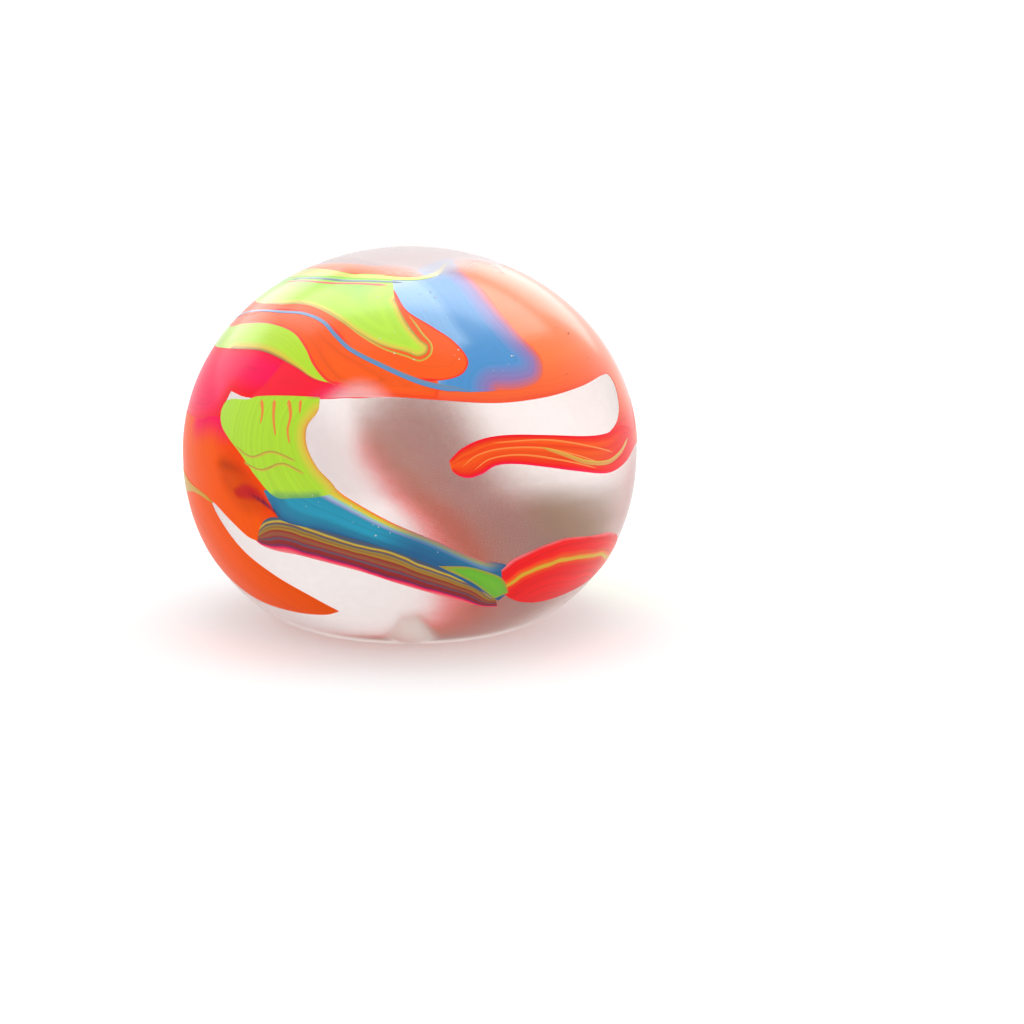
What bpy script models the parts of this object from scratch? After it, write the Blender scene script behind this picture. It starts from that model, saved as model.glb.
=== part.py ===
"""A squishy ball: a clear elastic skin full of clear gel, plugged under its foot, with marbled paint swirls.

Metres, +Z up. The origin is the centre of the flat foot that the ball rests on, and the front faces -Y.
The pieces are modelled about the centre of the widest ring and carried by empties on the squeeze axis.
"""

import math

import bmesh
import bpy
from mathutils import Vector
from mathutils.geometry import delaunay_2d_cdt, interpolate_bezier

MM = 0.001

# The outside of the bare skin. The lower half sags: it is fuller than an ellipse and flat at the foot.
BALL_WIDTH = 75.0 * MM
CROWN_HEIGHT = 33.2 * MM
FOOT_DEPTH = 28.6 * MM
FOOT_FLATTENING = 4.4 * MM
SAG_FULLNESS = 2.2

# The skin, split along the mould's parting line round the widest ring
SKIN_WALL = 2.2 * MM
PARTING_GAP = 0.3 * MM

# The filling hole under the foot, its barbed plug and the glue round the plug's head
HOLE_RADIUS = 2.5 * MM
PLUG_HEAD_OVERLAP = 1.6 * MM
PLUG_HEAD_THICKNESS = 1.0 * MM
PLUG_RECESS = 1.0 * MM
PLUG_BARB_OVERLAP = 1.1 * MM
PLUG_BARB_EDGE = 0.8 * MM
PLUG_TIP_RADIUS = 1.0 * MM
PLUG_TIP_LENGTH = 2.6 * MM
GLUE_WIDTH = 1.4 * MM
GLUE_RECESS = 0.5 * MM
BOSS_WALL = 2.0 * MM
BOSS_LENGTH = 4.5 * MM

# The paint films, and the space between neighbouring films
FILM_THICKNESS = 0.3 * MM
FILM_SEPARATION = 0.8 * MM

# Clearance between any two pieces that touch on the real ball
SEAT_GAP = 0.3 * MM

# How finely the round shapes are divided
RING_SEGMENTS = 48
PLUG_SEGMENTS = 28
DOME_STEPS = 8
GLUE_STEPS = 6
FILM_EDGE_STEP = 2.6 * MM
FILM_GRID_STEP = 4.6 * MM
FILM_GRID_MARGIN = 0.55
MAP_REACH = -0.5
SHARP_ANGLE = math.radians(35)
CORNER_ANGLE = math.radians(65)
MERGE_DISTANCE = 0.001 * MM

# Sizes that follow from those above
HALF_WIDTH = BALL_WIDTH / 2
SAG_DEPTH = FOOT_DEPTH + FOOT_FLATTENING
PLUG_HEAD_RADIUS = HOLE_RADIUS + PLUG_HEAD_OVERLAP
GLUE_INNER_RADIUS = PLUG_HEAD_RADIUS + SEAT_GAP
GLUE_OUTER_RADIUS = GLUE_INNER_RADIUS + GLUE_WIDTH
POCKET_RADIUS = GLUE_OUTER_RADIUS + SEAT_GAP
POCKET_DEPTH = PLUG_RECESS + PLUG_HEAD_THICKNESS + SEAT_GAP
BOSS_RADIUS = POCKET_RADIUS + BOSS_WALL
BOSS_TOP = POCKET_DEPTH + BOSS_LENGTH
BARB_BASE = BOSS_TOP + SEAT_GAP
PLUG_TOP = BARB_BASE + PLUG_BARB_EDGE + PLUG_TIP_LENGTH

# Outlines of the paint swirls: (degrees round from the front, degrees up from the widest ring).
# An edge that two swirls share is written once, and each film then draws back by half the separation.
TONGUE_EDGE = [
    (-15, 63), (-8, 57), (-2, 49), (4, 42), (5, 39), (0, 37.5), (-10, 40), (-20, 44), (-30, 48),
    (-43, 50.5), (-54, 51), (-69, 49), (-91, 45),
]
LOOP_RIGHT = [(-11, 65), (-2, 55), (9, 48), (16, 42), (19, 36), (16, 31), (8, 29)]
LOOP_UNDER = [(-1, 30), (-8, 33), (-18, 37), (-28, 42), (-39, 46), (-51, 47), (-67, 45.5), (-88, 41)]
FLOW_RIGHT = [
    (50, 72), (46, 67), (43, 59), (41, 49), (42, 41), (46, 34), (45, 30), (40, 27), (32, 26),
    (22, 26), (11, 27.5),
]
LEAF_OVER = [(-94, 35.5), (-79, 38.5), (-60, 42), (-47, 41.5), (-38, 38), (-32, 34), (-26, 30.5), (-20, 28.5)]
LEAF_UNDER = [(-90, 29), (-73, 31), (-54, 33.5), (-38, 31.5), (-29, 29), (-22, 26.5)]
CHEEK_TOP = [(-26, 24), (-38, 22.5), (-51, 21.5), (-60, 21)]
FLANK_EDGE = [(-61, 12.5), (-55, 9.5), (-49, 5.5), (-43, 0.5), (-37, -2.5)]
RIBBON_UNDER = [(-33, -9), (-22, -10.5), (-5, -14), (7, -19.5)]
STREAK_TOP = [(6, 75), (-18, 77), (-60, 77), (-95, 69), (-113, 62)]
FAR_EDGE = [(187, -10.5), (183, -14.5), (179, -17.5), (176, -20), (172, -24), (167, -28)]
LEVEL_EDGE = [(11, 24.5), (20, 23), (30, 22), (43, 22), (57, 23), (73, 22)]

CROWN_SWIRLS = {
    "swirl_crown_streak": (
        "salmon",
        [(-104, 59), (-80, 64), (-54, 69), (-20, 71), (8, 71)] + STREAK_TOP,
    ),
    "swirl_crown_veil": (
        "veil",
        STREAK_TOP[::-1]
        + [
            (30, 75.5), (52, 75.5), (72, 76), (92, 69), (112, 63), (126, 63), (150, 72), (180, 76),
            (210, 72), (236, 66),
        ],
    ),
    "swirl_lime_stripe": (
        "leaf",
        [(-99, 55.5), (-74, 61), (-50, 65), (-20, 67), (-20, 69.5), (-50, 67.5), (-78, 63), (-101, 58)],
    ),
    "swirl_green_tongue": ("lime", [(-96, 53), (-74, 58), (-51, 61.5)] + TONGUE_EDGE),
    "swirl_orange_loop": ("orange", LOOP_RIGHT + LOOP_UNDER + TONGUE_EDGE[::-1]),
    "swirl_blue_flow": ("blue", [(-8, 67), (10, 69), (30, 72)] + FLOW_RIGHT + LOOP_RIGHT[::-1]),
    "swirl_orange_sweep": (
        "orange",
        FLOW_RIGHT + LEVEL_EDGE + [(88, 19), (103, 26), (108, 40), (104, 53), (92, 65), (72, 73)],
    ),
    "swirl_orange_band": ("orange", LOOP_UNDER + LEAF_OVER + [(-19, 25.5), (-6, 25.5), (6, 25)]),
    "swirl_green_leaf": ("leaf", LEAF_OVER + LEAF_UNDER[::-1]),
    "swirl_magenta_cheek": (
        "magenta",
        LEAF_UNDER + CHEEK_TOP + [(-62, 16), (-69, 12), (-85, 10), (-100, 13), (-104, 22)],
    ),
    "swirl_green_cheek": (
        "lime",
        CHEEK_TOP + FLANK_EDGE + [(-23, -1.5), (-19, 2), (-25, 6), (-28, 11), (-28, 16), (-25, 21)],
    ),
    "swirl_orange_tongue": (
        "red",
        [
            (60, 9.5), (52, 10.5), (38, 13), (26, 14.5), (19, 14), (13, 11.5), (10, 8.5), (11, 6),
            (14, 4.5),
            (18, 5), (22, 7), (27, 7), (37, 5), (47, 2), (60, 0), (70, 0), (80, 2), (88, 8),
            (88, 17), (77, 19),
            (73, 15), (68, 11),
        ],
    ),
    "swirl_back_orange_wave": (
        "orange",
        [
            (116, 24), (140, 18), (165, 22), (190, 32), (215, 34), (238, 26), (250, 20), (250, 30),
            (235, 40),
            (212, 46), (188, 44), (165, 36), (142, 32), (118, 38),
        ],
    ),
    "swirl_back_blue_drift": (
        "blue",
        [
            (118, 46), (140, 40), (165, 44), (188, 52), (212, 54), (236, 48), (256, 44), (258, 54),
            (236, 62),
            (210, 68), (180, 72), (150, 68), (124, 58),
        ],
    ),
    "swirl_back_magenta_wave": (
        "magenta",
        [
            (256, 8), (244, 15), (228, 20), (208, 24), (196, 18), (200, 9), (216, 5), (234, 2),
            (250, -4), (257, 0),
        ],
    ),
}
BASE_SWIRLS = {
    "swirl_orange_flank": (
        "orange",
        [(-85, 8.5), (-69, 10.5)] + FLANK_EDGE
        + [(-37, -8), (-41, -12), (-46, -14), (-52, -11), (-60, -8), (-72, -4), (-88, -2), (-97, 4)],
    ),
    "swirl_blue_ribbon": (
        "teal",
        [(-35, -4), (-22, -3), (-16, -3), (-5, -7), (7, -12), (19, -17), (26, -20), (22, -25)]
        + RIBBON_UNDER[::-1],
    ),
    "swirl_red_ribbon": (
        "dark_red",
        RIBBON_UNDER + [(3, -23.5), (-4, -22.5), (-14, -20), (-29, -17), (-40, -16)],
    ),
    "swirl_orange_crescent": (
        "orange",
        [
            (-62, -9.5), (-58, -12.5), (-50, -18), (-40, -24), (-30, -28.5), (-22, -32),
            (-25, -36), (-44, -37),
            (-60, -35), (-76, -27), (-88, -17), (-90, -9), (-76, -6),
        ],
    ),
    "swirl_red_fringe": (
        "red",
        [
            (27, -26), (30, -20), (36, -17), (46, -15.5), (57, -16.5), (69, -19), (72, -26),
            (56, -31), (38, -31),
        ],
    ),
    "swirl_back_green_drift": (
        "lime",
        [(94, -8), (112, -4), (130, -6), (146, -14), (150, -24), (140, -31), (120, -31), (100, -26)],
    ),
    "swirl_back_olive_patch": (
        "olive",
        FAR_EDGE + [(157, -28), (153, -23), (156, -18), (166, -17), (170, -14), (172, -10), (176, -6), (183, -6)],
    ),
    "swirl_back_red_stripe": (
        "red",
        FAR_EDGE + [(166, -33), (173, -33), (178, -28), (182, -23), (186, -19), (190, -15), (191, -10)],
    ),
    "swirl_back_blue_ribbon": (
        "teal",
        [
            (262, -10), (246, -10), (228, -6), (210, -6), (202, -12), (216, -16), (234, -18),
            (250, -24), (262, -24),
        ],
    ),
}

# Colours as a screen shows them
COLOURS = {
    "clear": (0.93, 0.91, 0.90),
    "gel": (0.90, 0.88, 0.86),
    "plug": (0.88, 0.87, 0.85),
    "glue": (0.86, 0.82, 0.72),
    "salmon": (1.00, 0.55, 0.42),
    "veil": (0.94, 0.89, 0.91),
    "lime": (0.67, 0.90, 0.24),
    "leaf": (0.76, 0.90, 0.33),
    "orange": (1.00, 0.43, 0.20),
    "red": (0.98, 0.24, 0.16),
    "blue": (0.37, 0.61, 0.82),
    "teal": (0.18, 0.59, 0.76),
    "magenta": (1.00, 0.10, 0.43),
    "dark_red": (0.65, 0.20, 0.18),
    "olive": (0.62, 0.54, 0.42),
}
PAINT_ROUGHNESS = 0.18
CLEAR_ROUGHNESS = 0.08
CLEAR_ALPHA = 0.35
PLUG_ROUGHNESS = 0.45
SCREEN_GAMMA = 2.2


def clear_scene():
    for old in list(bpy.data.objects):
        bpy.data.objects.remove(old, do_unlink=True)


def material(colour, roughness, alpha=1.0):
    made = bpy.data.materials.new(colour)
    made.use_nodes = True
    shader = made.node_tree.nodes["Principled BSDF"]
    linear = [channel**SCREEN_GAMMA for channel in COLOURS[colour]]
    shader.inputs["Base Color"].default_value = (*linear, 1.0)
    shader.inputs["Roughness"].default_value = roughness
    shader.inputs["Metallic"].default_value = 0.0
    shader.inputs["Alpha"].default_value = alpha
    return made


def empty(name, height):
    """A carrier on the squeeze axis, at this height over the floor."""
    made = bpy.data.objects.new(name, None)
    made.location = (0, 0, height)
    bpy.context.scene.collection.objects.link(made)
    return made


def add_piece(name, bm, carrier, finish):
    """One named solid from a bmesh, closed and facing out."""
    bmesh.ops.remove_doubles(bm, verts=bm.verts, dist=MERGE_DISTANCE)
    bmesh.ops.recalc_face_normals(bm, faces=bm.faces)
    mesh = bpy.data.meshes.new(name)
    bm.to_mesh(mesh)
    bm.free()
    mesh.shade_smooth()
    mesh.set_sharp_from_angle(angle=SHARP_ANGLE)
    mesh.materials.append(finish)
    made = bpy.data.objects.new(name, mesh)
    made.parent = carrier
    bpy.context.scene.collection.objects.link(made)
    return made


def direction(longitude, latitude):
    """The unit vector from the ball's centre at these angles, in degrees. The front, longitude 0, is -Y."""
    around = math.radians(longitude)
    up = math.radians(latitude)
    return Vector((math.sin(around) * math.cos(up), -math.cos(around) * math.cos(up), math.sin(up)))


def skin_point(toward, lift):
    """The point over the skin's outside in this direction from the centre, lifted off it along its normal."""
    across = math.hypot(toward.x, toward.y)
    depth, power = (CROWN_HEIGHT, 2.0) if toward.z >= 0 else (SAG_DEPTH, SAG_FULLNESS)
    share_across = across / HALF_WIDTH
    share_up = abs(toward.z) / depth
    reach = (share_across**power + share_up**power) ** (-1 / power)
    slope_across = (reach * share_across) ** (power - 1) / HALF_WIDTH
    slope_up = math.copysign((reach * share_up) ** (power - 1) / depth, toward.z)
    outward = Vector((toward.x, toward.y, 0)) / max(across, MERGE_DISTANCE) * slope_across
    outward.z = slope_up
    return toward * reach + outward.normalized() * lift


def profile_point(latitude, lift):
    """(radius, height) of the skin's profile, lifted off the outside."""
    point = skin_point(direction(90, latitude), lift)
    return point.x, point.z


def foot_latitude(lift):
    """Where the lifted profile meets the plane of the flat foot, lifted alike."""
    above, below = -1.0, -89.0
    for _ in range(50):
        middle = (above + below) / 2
        if profile_point(middle, lift)[1] > -FOOT_DEPTH - lift:
            above = middle
        else:
            below = middle
    return above


def crown_profile(lift, lowest):
    """The profile's upper half from the pole on the axis down to a height, with the skin's outside lifted."""
    points = [(0.0, CROWN_HEIGHT + lift)]
    for step in range(1, DOME_STEPS):
        points.append(profile_point(90 * (1 - step / DOME_STEPS), lift))
    points.append((HALF_WIDTH + lift, lowest))
    return points


def sag_profile(lift, highest):
    """The profile's lower half from a height down to the edge of the flat foot, with the skin's outside lifted."""
    points = [(HALF_WIDTH + lift, highest)]
    lowest = foot_latitude(lift)
    for step in range(1, DOME_STEPS + 1):
        points.append(profile_point(lowest * step / DOME_STEPS, lift))
    return points


def over_floor(radius, height):
    """A profile point given by its height over the floor."""
    return radius, height - FOOT_DEPTH


def turned(points, segments, closed):
    """A bmesh turned about Z from (radius, height) points: a ring, or a solid whose ends lie on the axis."""
    bm = bmesh.new()
    corners = [bm.verts.new((radius, 0, height)) for radius, height in points]
    pairs = list(zip(corners, corners[1:]))
    if closed:
        pairs.append((corners[-1], corners[0]))
    edges = [bm.edges.new(pair) for pair in pairs]
    bmesh.ops.spin(
        bm, geom=corners + edges, cent=(0, 0, 0), axis=(0, 0, 1), angle=math.tau, steps=segments, use_merge=True
    )
    return bm


def upper_skin():
    half_gap = PARTING_GAP / 2
    points = crown_profile(0.0, half_gap) + crown_profile(-SKIN_WALL, half_gap)[::-1]
    return turned(points, RING_SEGMENTS, closed=False)


def lower_skin():
    half_gap = PARTING_GAP / 2
    filling_hole = [
        over_floor(POCKET_RADIUS, 0.0),
        over_floor(POCKET_RADIUS, POCKET_DEPTH),
        over_floor(HOLE_RADIUS, POCKET_DEPTH),
        over_floor(HOLE_RADIUS, BOSS_TOP),
        over_floor(BOSS_RADIUS, BOSS_TOP),
        over_floor(BOSS_RADIUS, SKIN_WALL),
    ]
    points = sag_profile(0.0, -half_gap) + filling_hole + sag_profile(-SKIN_WALL, -half_gap)[::-1]
    return turned(points, RING_SEGMENTS, closed=True)


def gel_filling():
    lift = -SKIN_WALL - SEAT_GAP
    socket_radius = BOSS_RADIUS + SEAT_GAP
    socket = [
        over_floor(socket_radius, -lift),
        over_floor(socket_radius, PLUG_TOP + SEAT_GAP),
        over_floor(0.0, PLUG_TOP + SEAT_GAP),
    ]
    points = crown_profile(lift, 0.0) + sag_profile(lift, 0.0)[1:] + socket
    return turned(points, RING_SEGMENTS, closed=False)


def fill_plug():
    stem_radius = HOLE_RADIUS - SEAT_GAP
    barb_radius = HOLE_RADIUS + PLUG_BARB_OVERLAP
    head_top = PLUG_RECESS + PLUG_HEAD_THICKNESS
    points = [
        over_floor(0.0, PLUG_TOP),
        over_floor(PLUG_TIP_RADIUS, PLUG_TOP),
        over_floor(barb_radius, BARB_BASE + PLUG_BARB_EDGE),
        over_floor(barb_radius, BARB_BASE),
        over_floor(stem_radius, BARB_BASE),
        over_floor(stem_radius, head_top),
        over_floor(PLUG_HEAD_RADIUS, head_top),
        over_floor(PLUG_HEAD_RADIUS, PLUG_RECESS),
        over_floor(0.0, PLUG_RECESS),
    ]
    return turned(points, PLUG_SEGMENTS, closed=False)


def glue_bead():
    """A ring with a flat top in the pocket and a round underside."""
    middle = (GLUE_INNER_RADIUS + GLUE_OUTER_RADIUS) / 2
    top = POCKET_DEPTH - SEAT_GAP
    points = [over_floor(GLUE_INNER_RADIUS, top), over_floor(GLUE_OUTER_RADIUS, top)]
    for step in range(1, GLUE_STEPS):
        turn = math.pi * step / GLUE_STEPS
        across = GLUE_WIDTH / 2 * math.cos(turn)
        points.append(over_floor(middle + across, top - (top - GLUE_RECESS) * math.sin(turn)))
    return turned(points, PLUG_SEGMENTS, closed=True)


def smooth_outline(outline):
    """Unit vectors along a closed curve through the outline's points, smooth but for the sharp corners."""
    corners = [direction(*angles) for angles in outline]
    count = len(corners)
    chords = [corners[(i + 1) % count] - corners[i] for i in range(count)]
    curve = []
    for i, chord in enumerate(chords):
        before, after = chords[i - 1], chords[(i + 1) % count]
        leaving = chord if chord.angle(before) > CORNER_ANGLE else chord + before
        arriving = chord if chord.angle(after) > CORNER_ANGLE else chord + after
        start, end = corners[i], corners[(i + 1) % count]
        pull = chord.length / 3
        pieces = max(1, round(chord.length * HALF_WIDTH / FILM_EDGE_STEP))
        span = interpolate_bezier(
            start, start + leaving.normalized() * pull, end - arriving.normalized() * pull, end, pieces + 1
        )
        curve += [point.normalized() for point in span[:-1]]
    return curve


class SphereMap:
    """A flat stereographic map of the directions round a middle one."""

    def __init__(self, directions):
        self.middle = sum(directions, Vector()).normalized()
        self.right = self.middle.orthogonal().normalized()
        self.up = self.middle.cross(self.right)

    def flat(self, toward):
        share = 1 / (1 + toward.dot(self.middle))
        return Vector((toward.dot(self.right) * share, toward.dot(self.up) * share))

    def toward(self, point):
        square = point.length_squared
        ahead = self.middle * (1 - square)
        return (self.right * (2 * point.x) + self.up * (2 * point.y) + ahead) / (1 + square)


def signed_area(polygon):
    return sum(polygon[i - 1].cross(point) for i, point in enumerate(polygon)) / 2


def drawn_back(curve, sphere_map):
    """The closed curve moved inwards by half the separation between films."""
    inwards = math.copysign(1.0, signed_area([sphere_map.flat(point) for point in curve]))
    count = len(curve)
    moved = []
    for i, point in enumerate(curve):
        along = curve[(i + 1) % count] - curve[i - 1]
        inward = point.cross(along).normalized() * inwards
        moved.append((point + inward * (FILM_SEPARATION / 2 / HALF_WIDTH)).normalized())
    return moved


def inside(point, polygon):
    crossings = 0
    for i, end in enumerate(polygon):
        start = polygon[i - 1]
        if (start.y > point.y) != (end.y > point.y):
            crossings += point.x < start.x + (end.x - start.x) * (point.y - start.y) / (end.y - start.y)
    return crossings % 2 == 1


def even_directions():
    """Directions spread evenly over the ball, one for each grid cell, on a golden spiral."""
    cell = FILM_GRID_STEP**2 * math.sqrt(3) / 2
    count = round(4 * math.pi * HALF_WIDTH**2 / cell)
    golden_turn = math.degrees(math.pi * (3 - math.sqrt(5)))
    return [
        direction(golden_turn * i, math.degrees(math.asin(1 - (2 * i + 1) / count)))
        for i in range(count)
    ]


def film_triangles(outline, grid):
    """(directions, triangles) that fill a swirl's outline on the ball."""
    curve = smooth_outline(outline)
    sphere_map = SphereMap(curve)
    curve = drawn_back(curve, sphere_map)
    edge = [sphere_map.flat(point) for point in curve]
    margin = FILM_GRID_MARGIN * FILM_GRID_STEP / HALF_WIDTH
    inner = []
    for toward in grid:
        near = min((toward - point).length for point in curve)
        if near > margin and toward.dot(sphere_map.middle) > MAP_REACH and inside(sphere_map.flat(toward), edge):
            inner.append(sphere_map.flat(toward))
    loop = list(range(len(edge)))
    inside_only = 1
    points, _, faces, _, _, _ = delaunay_2d_cdt(edge + inner, [], [loop], inside_only, MERGE_DISTANCE)
    return [sphere_map.toward(point) for point in points], faces


def paint_film(outline, grid):
    """A thin closed film over the skin, with its side walls round the outline."""
    directions, faces = film_triangles(outline, grid)
    bm = bmesh.new()
    under = [bm.verts.new(skin_point(toward, SEAT_GAP)) for toward in directions]
    over = [bm.verts.new(skin_point(toward, SEAT_GAP + FILM_THICKNESS)) for toward in directions]
    sides = {}
    for face in faces:
        bm.faces.new([over[i] for i in face])
        bm.faces.new([under[i] for i in reversed(face)])
        for i, start in enumerate(face):
            end = face[(i + 1) % len(face)]
            if (end, start) in sides:
                del sides[end, start]
            else:
                sides[start, end] = True
    for start, end in sides:
        bm.faces.new([over[end], over[start], under[start], under[end]])
    return bm


def build():
    clear_scene()
    base = empty("base_carrier", FOOT_DEPTH)
    crown = empty("crown_carrier", FOOT_DEPTH)
    clear = material("clear", CLEAR_ROUGHNESS, CLEAR_ALPHA)
    add_piece("upper_skin", upper_skin(), crown, clear)
    add_piece("lower_skin", lower_skin(), base, clear)
    add_piece("gel_filling", gel_filling(), base, material("gel", CLEAR_ROUGHNESS, CLEAR_ALPHA))
    add_piece("fill_plug", fill_plug(), base, material("plug", PLUG_ROUGHNESS))
    add_piece("glue_bead", glue_bead(), base, material("glue", PLUG_ROUGHNESS))
    grid = even_directions()
    paints = {}
    for carrier, swirls in ((crown, CROWN_SWIRLS), (base, BASE_SWIRLS)):
        for name, (colour, outline) in swirls.items():
            if colour not in paints:
                paints[colour] = material(colour, PAINT_ROUGHNESS)
            add_piece(name, paint_film(outline, grid), carrier, paints[colour])


build()
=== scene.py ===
import math

import bpy
import numpy as np
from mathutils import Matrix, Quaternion, Vector
from mathutils.geometry import delaunay_2d_cdt


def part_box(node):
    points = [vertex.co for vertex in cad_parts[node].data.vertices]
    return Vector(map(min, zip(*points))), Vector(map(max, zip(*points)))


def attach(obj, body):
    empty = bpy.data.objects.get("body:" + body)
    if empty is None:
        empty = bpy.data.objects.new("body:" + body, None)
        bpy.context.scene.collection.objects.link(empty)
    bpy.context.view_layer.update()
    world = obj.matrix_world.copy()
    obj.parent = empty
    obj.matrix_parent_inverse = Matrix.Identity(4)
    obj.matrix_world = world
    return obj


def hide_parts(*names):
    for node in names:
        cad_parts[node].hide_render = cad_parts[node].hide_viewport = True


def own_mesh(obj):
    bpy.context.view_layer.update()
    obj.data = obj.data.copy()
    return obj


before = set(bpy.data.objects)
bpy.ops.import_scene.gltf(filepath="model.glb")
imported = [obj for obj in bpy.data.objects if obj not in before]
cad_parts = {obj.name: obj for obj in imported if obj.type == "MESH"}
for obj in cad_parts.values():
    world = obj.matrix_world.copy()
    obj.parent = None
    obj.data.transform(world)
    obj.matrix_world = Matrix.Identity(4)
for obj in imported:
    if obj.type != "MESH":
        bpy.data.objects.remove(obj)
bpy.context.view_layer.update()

MM = 0.001

# The bare skin's outside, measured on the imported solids. The lower half is fuller than an ellipse.
UPPER_LOW, UPPER_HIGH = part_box("upper_skin")
LOWER_LOW, LOWER_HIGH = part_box("lower_skin")
RING_HEIGHT = (UPPER_LOW.z + LOWER_HIGH.z) / 2
HALF_WIDTH = (UPPER_HIGH.x - UPPER_LOW.x) / 2
CROWN_HEIGHT = UPPER_HIGH.z - RING_HEIGHT
FOOT_DEPTH = RING_HEIGHT - LOWER_LOW.z
FOOT_FLATTENING = 4.4 * MM
SAG_DEPTH = FOOT_DEPTH + FOOT_FLATTENING
CROWN_FULLNESS = 2.0
SAG_FULLNESS = 2.2
SKIN_WALL = 2.2 * MM
FOOT_ROUNDING = 3.0 * MM
BALL_CENTRE = Vector((0, 0, RING_HEIGHT))
MEAN_RADIUS = 35.0 * MM

# The fill hole, its plug and its glue. The plug's and the glue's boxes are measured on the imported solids.
PLUG_LOW, PLUG_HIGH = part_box("fill_plug")
BEAD_LOW, BEAD_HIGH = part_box("glue_bead")
HOLE_RADIUS = 2.5 * MM
POCKET_RADIUS = BEAD_HIGH.x + 0.3 * MM
POCKET_DEPTH = 2.3 * MM
BOSS_RADIUS = POCKET_RADIUS + 2.0 * MM
BOSS_TOP = POCKET_DEPTH + 4.5 * MM
POCKET_ROUNDING = 0.4 * MM
BOSS_BEVEL = 0.6 * MM
BARB_RADIUS = HOLE_RADIUS + 1.1 * MM
PLUG_GAP = 0.3 * MM
PLUG_HEAD = 1.0 * MM
PLUG_TIP = 1.0 * MM
PLUG_ROUNDING = 0.25 * MM
GEL_GAP = 0.03 * MM
SOCKET_SHOULDER = 1.2 * MM
SOCKET_TIP = 1.2 * MM
BEAD_MARGIN = 0.05 * MM
BEAD_WAVER = 0.2 * MM
BEAD_WAVER_SCALE = 260.0
BEAD_STEPS = 96
BEAD_SIDES = 14

# Bodies turned about the squeeze axis
TURN_STEPS = 192
ON_AXIS = 1e-6
CORNER_STEPS = 5
DOME_LOWEST = -80
DOME_SAMPLES = 300
DOME_RINGS = 110
FOOT_ROUNDING_RISE = 0.7
SHARP_ANGLE = math.radians(35)

# The paint films: each coat lies a little over the one before it
FILM_OUTER = 0.06 * MM
FILM_INNER = -0.05 * MM
COAT_STEP = 0.014 * MM
COAT_STEP_INSIDE = 0.006 * MM
FILM_GRID = 0.8 * MM
FINE_GRID = 0.35 * MM
FINE_REACH = 9.0 * MM
FILM_EDGE = 0.45 * MM
FLOW_REACH = 10.0 * MM
CORNER_ANGLE = math.radians(62)
MAP_TILT = (0.3, 0.2, 0.93)
REACH_MARGIN = 0.02
EDGE_CLEARANCE = 0.6
MERGE_REACH = 1e-7
TINY = 1e-9
STROKE_TAPER = 14
STROKE_TIP = 0.15

# Finishes: scales of their noise, roughness and refraction
STREAK_LENGTH_SCALE = 45.0
STREAK_FINENESS = 11.0
PAINT_MOTTLE = 140.0
PAINT_ROUGHNESS = (0.29, 0.4)
PAINT_SPECULAR = 0.1
PAINT_GRAIN = 1600.0
GRAIN_STRENGTH = 0.05
GRAIN_DEPTH = 0.05 * MM
COAT_ROUGHNESS = 0.2
COAT_REFRACTION = 1.45
SKIN_SPECKLE = 900.0
SKIN_HAZE = (0.16, 0.2)
SKIN_REFRACTION = 1.41
GEL_CLOUD = 60.0
GEL_REFRACTION = 1.01
RUBBER_MOTTLE = 700.0
RUBBER_CLEARNESS = 0.8
RUBBER_REFRACTION = 1.1
# How strongly the plug and the glue glow in their own tint: painted light that lightens them.
RUBBER_PAINTED_GLOW = 0.15
PLUG_ROUGHNESS = 0.45
GLUE_ROUGHNESS = 0.25

# Dust on the paint
DUST_COAT = 8
DUST_SMALLEST = 0.05 * MM
DUST_LARGEST = 0.16 * MM
DUST_FLATNESS = 0.3
DUST_CHANGE = 0.85
DUST_CHANGE_SCALE = 300.0
DUST_ROUGHNESS = 0.7

# The stage. A softbox has a name, a place, a width and height, and a power in watts
WHITE = (1, 1, 1, 1)
SENSOR_WIDTH = 36.0
LIGHT_BOUNCES = 32
WORLD_LEVEL = 0.9
FLOOR_TONE = 0.82
FLOOR_ROUGHNESS = 0.8
FLOOR_SPECULAR = 0.1
FLOOR_LIFT = 0.27
FLOOR_REACH = 6.0
OVERHEAD_SOFTBOX = ("overhead_softbox", (0.02, 0.1, 0.6), (0.5, 0.5), 0.9)
SHEEN_SOFTBOXES = (
    ("sheen_softbox", (0.02, 0.3, 0.55), (0.9, 0.34), 3.0),
    ("right_sheen_softbox", (0.27, 0.68, 0.325), (0.34, 0.34), 0.58),
    ("left_sheen_softbox", (-0.42, 0.55, 0.3), (0.6, 0.3), 0.95),
)

# The photograph's frame, in its pixels
FRAME_SIZE = 1024
FRAME_CENTRE = FRAME_SIZE / 2
RING_CENTRE_PX = (410.5, 448.0)
RING_HALF_PX = 226.5
VIEW_ELEVATION = math.radians(12)
VIEW_DISTANCE = 0.7
FOCAL_PX = RING_HALF_PX * math.sqrt(VIEW_DISTANCE**2 - HALF_WIDTH**2) / HALF_WIDTH
PX = HALF_WIDTH / RING_HALF_PX
DEEPEST_STEPS = 60
TOUCH_STEPS = 50

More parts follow.
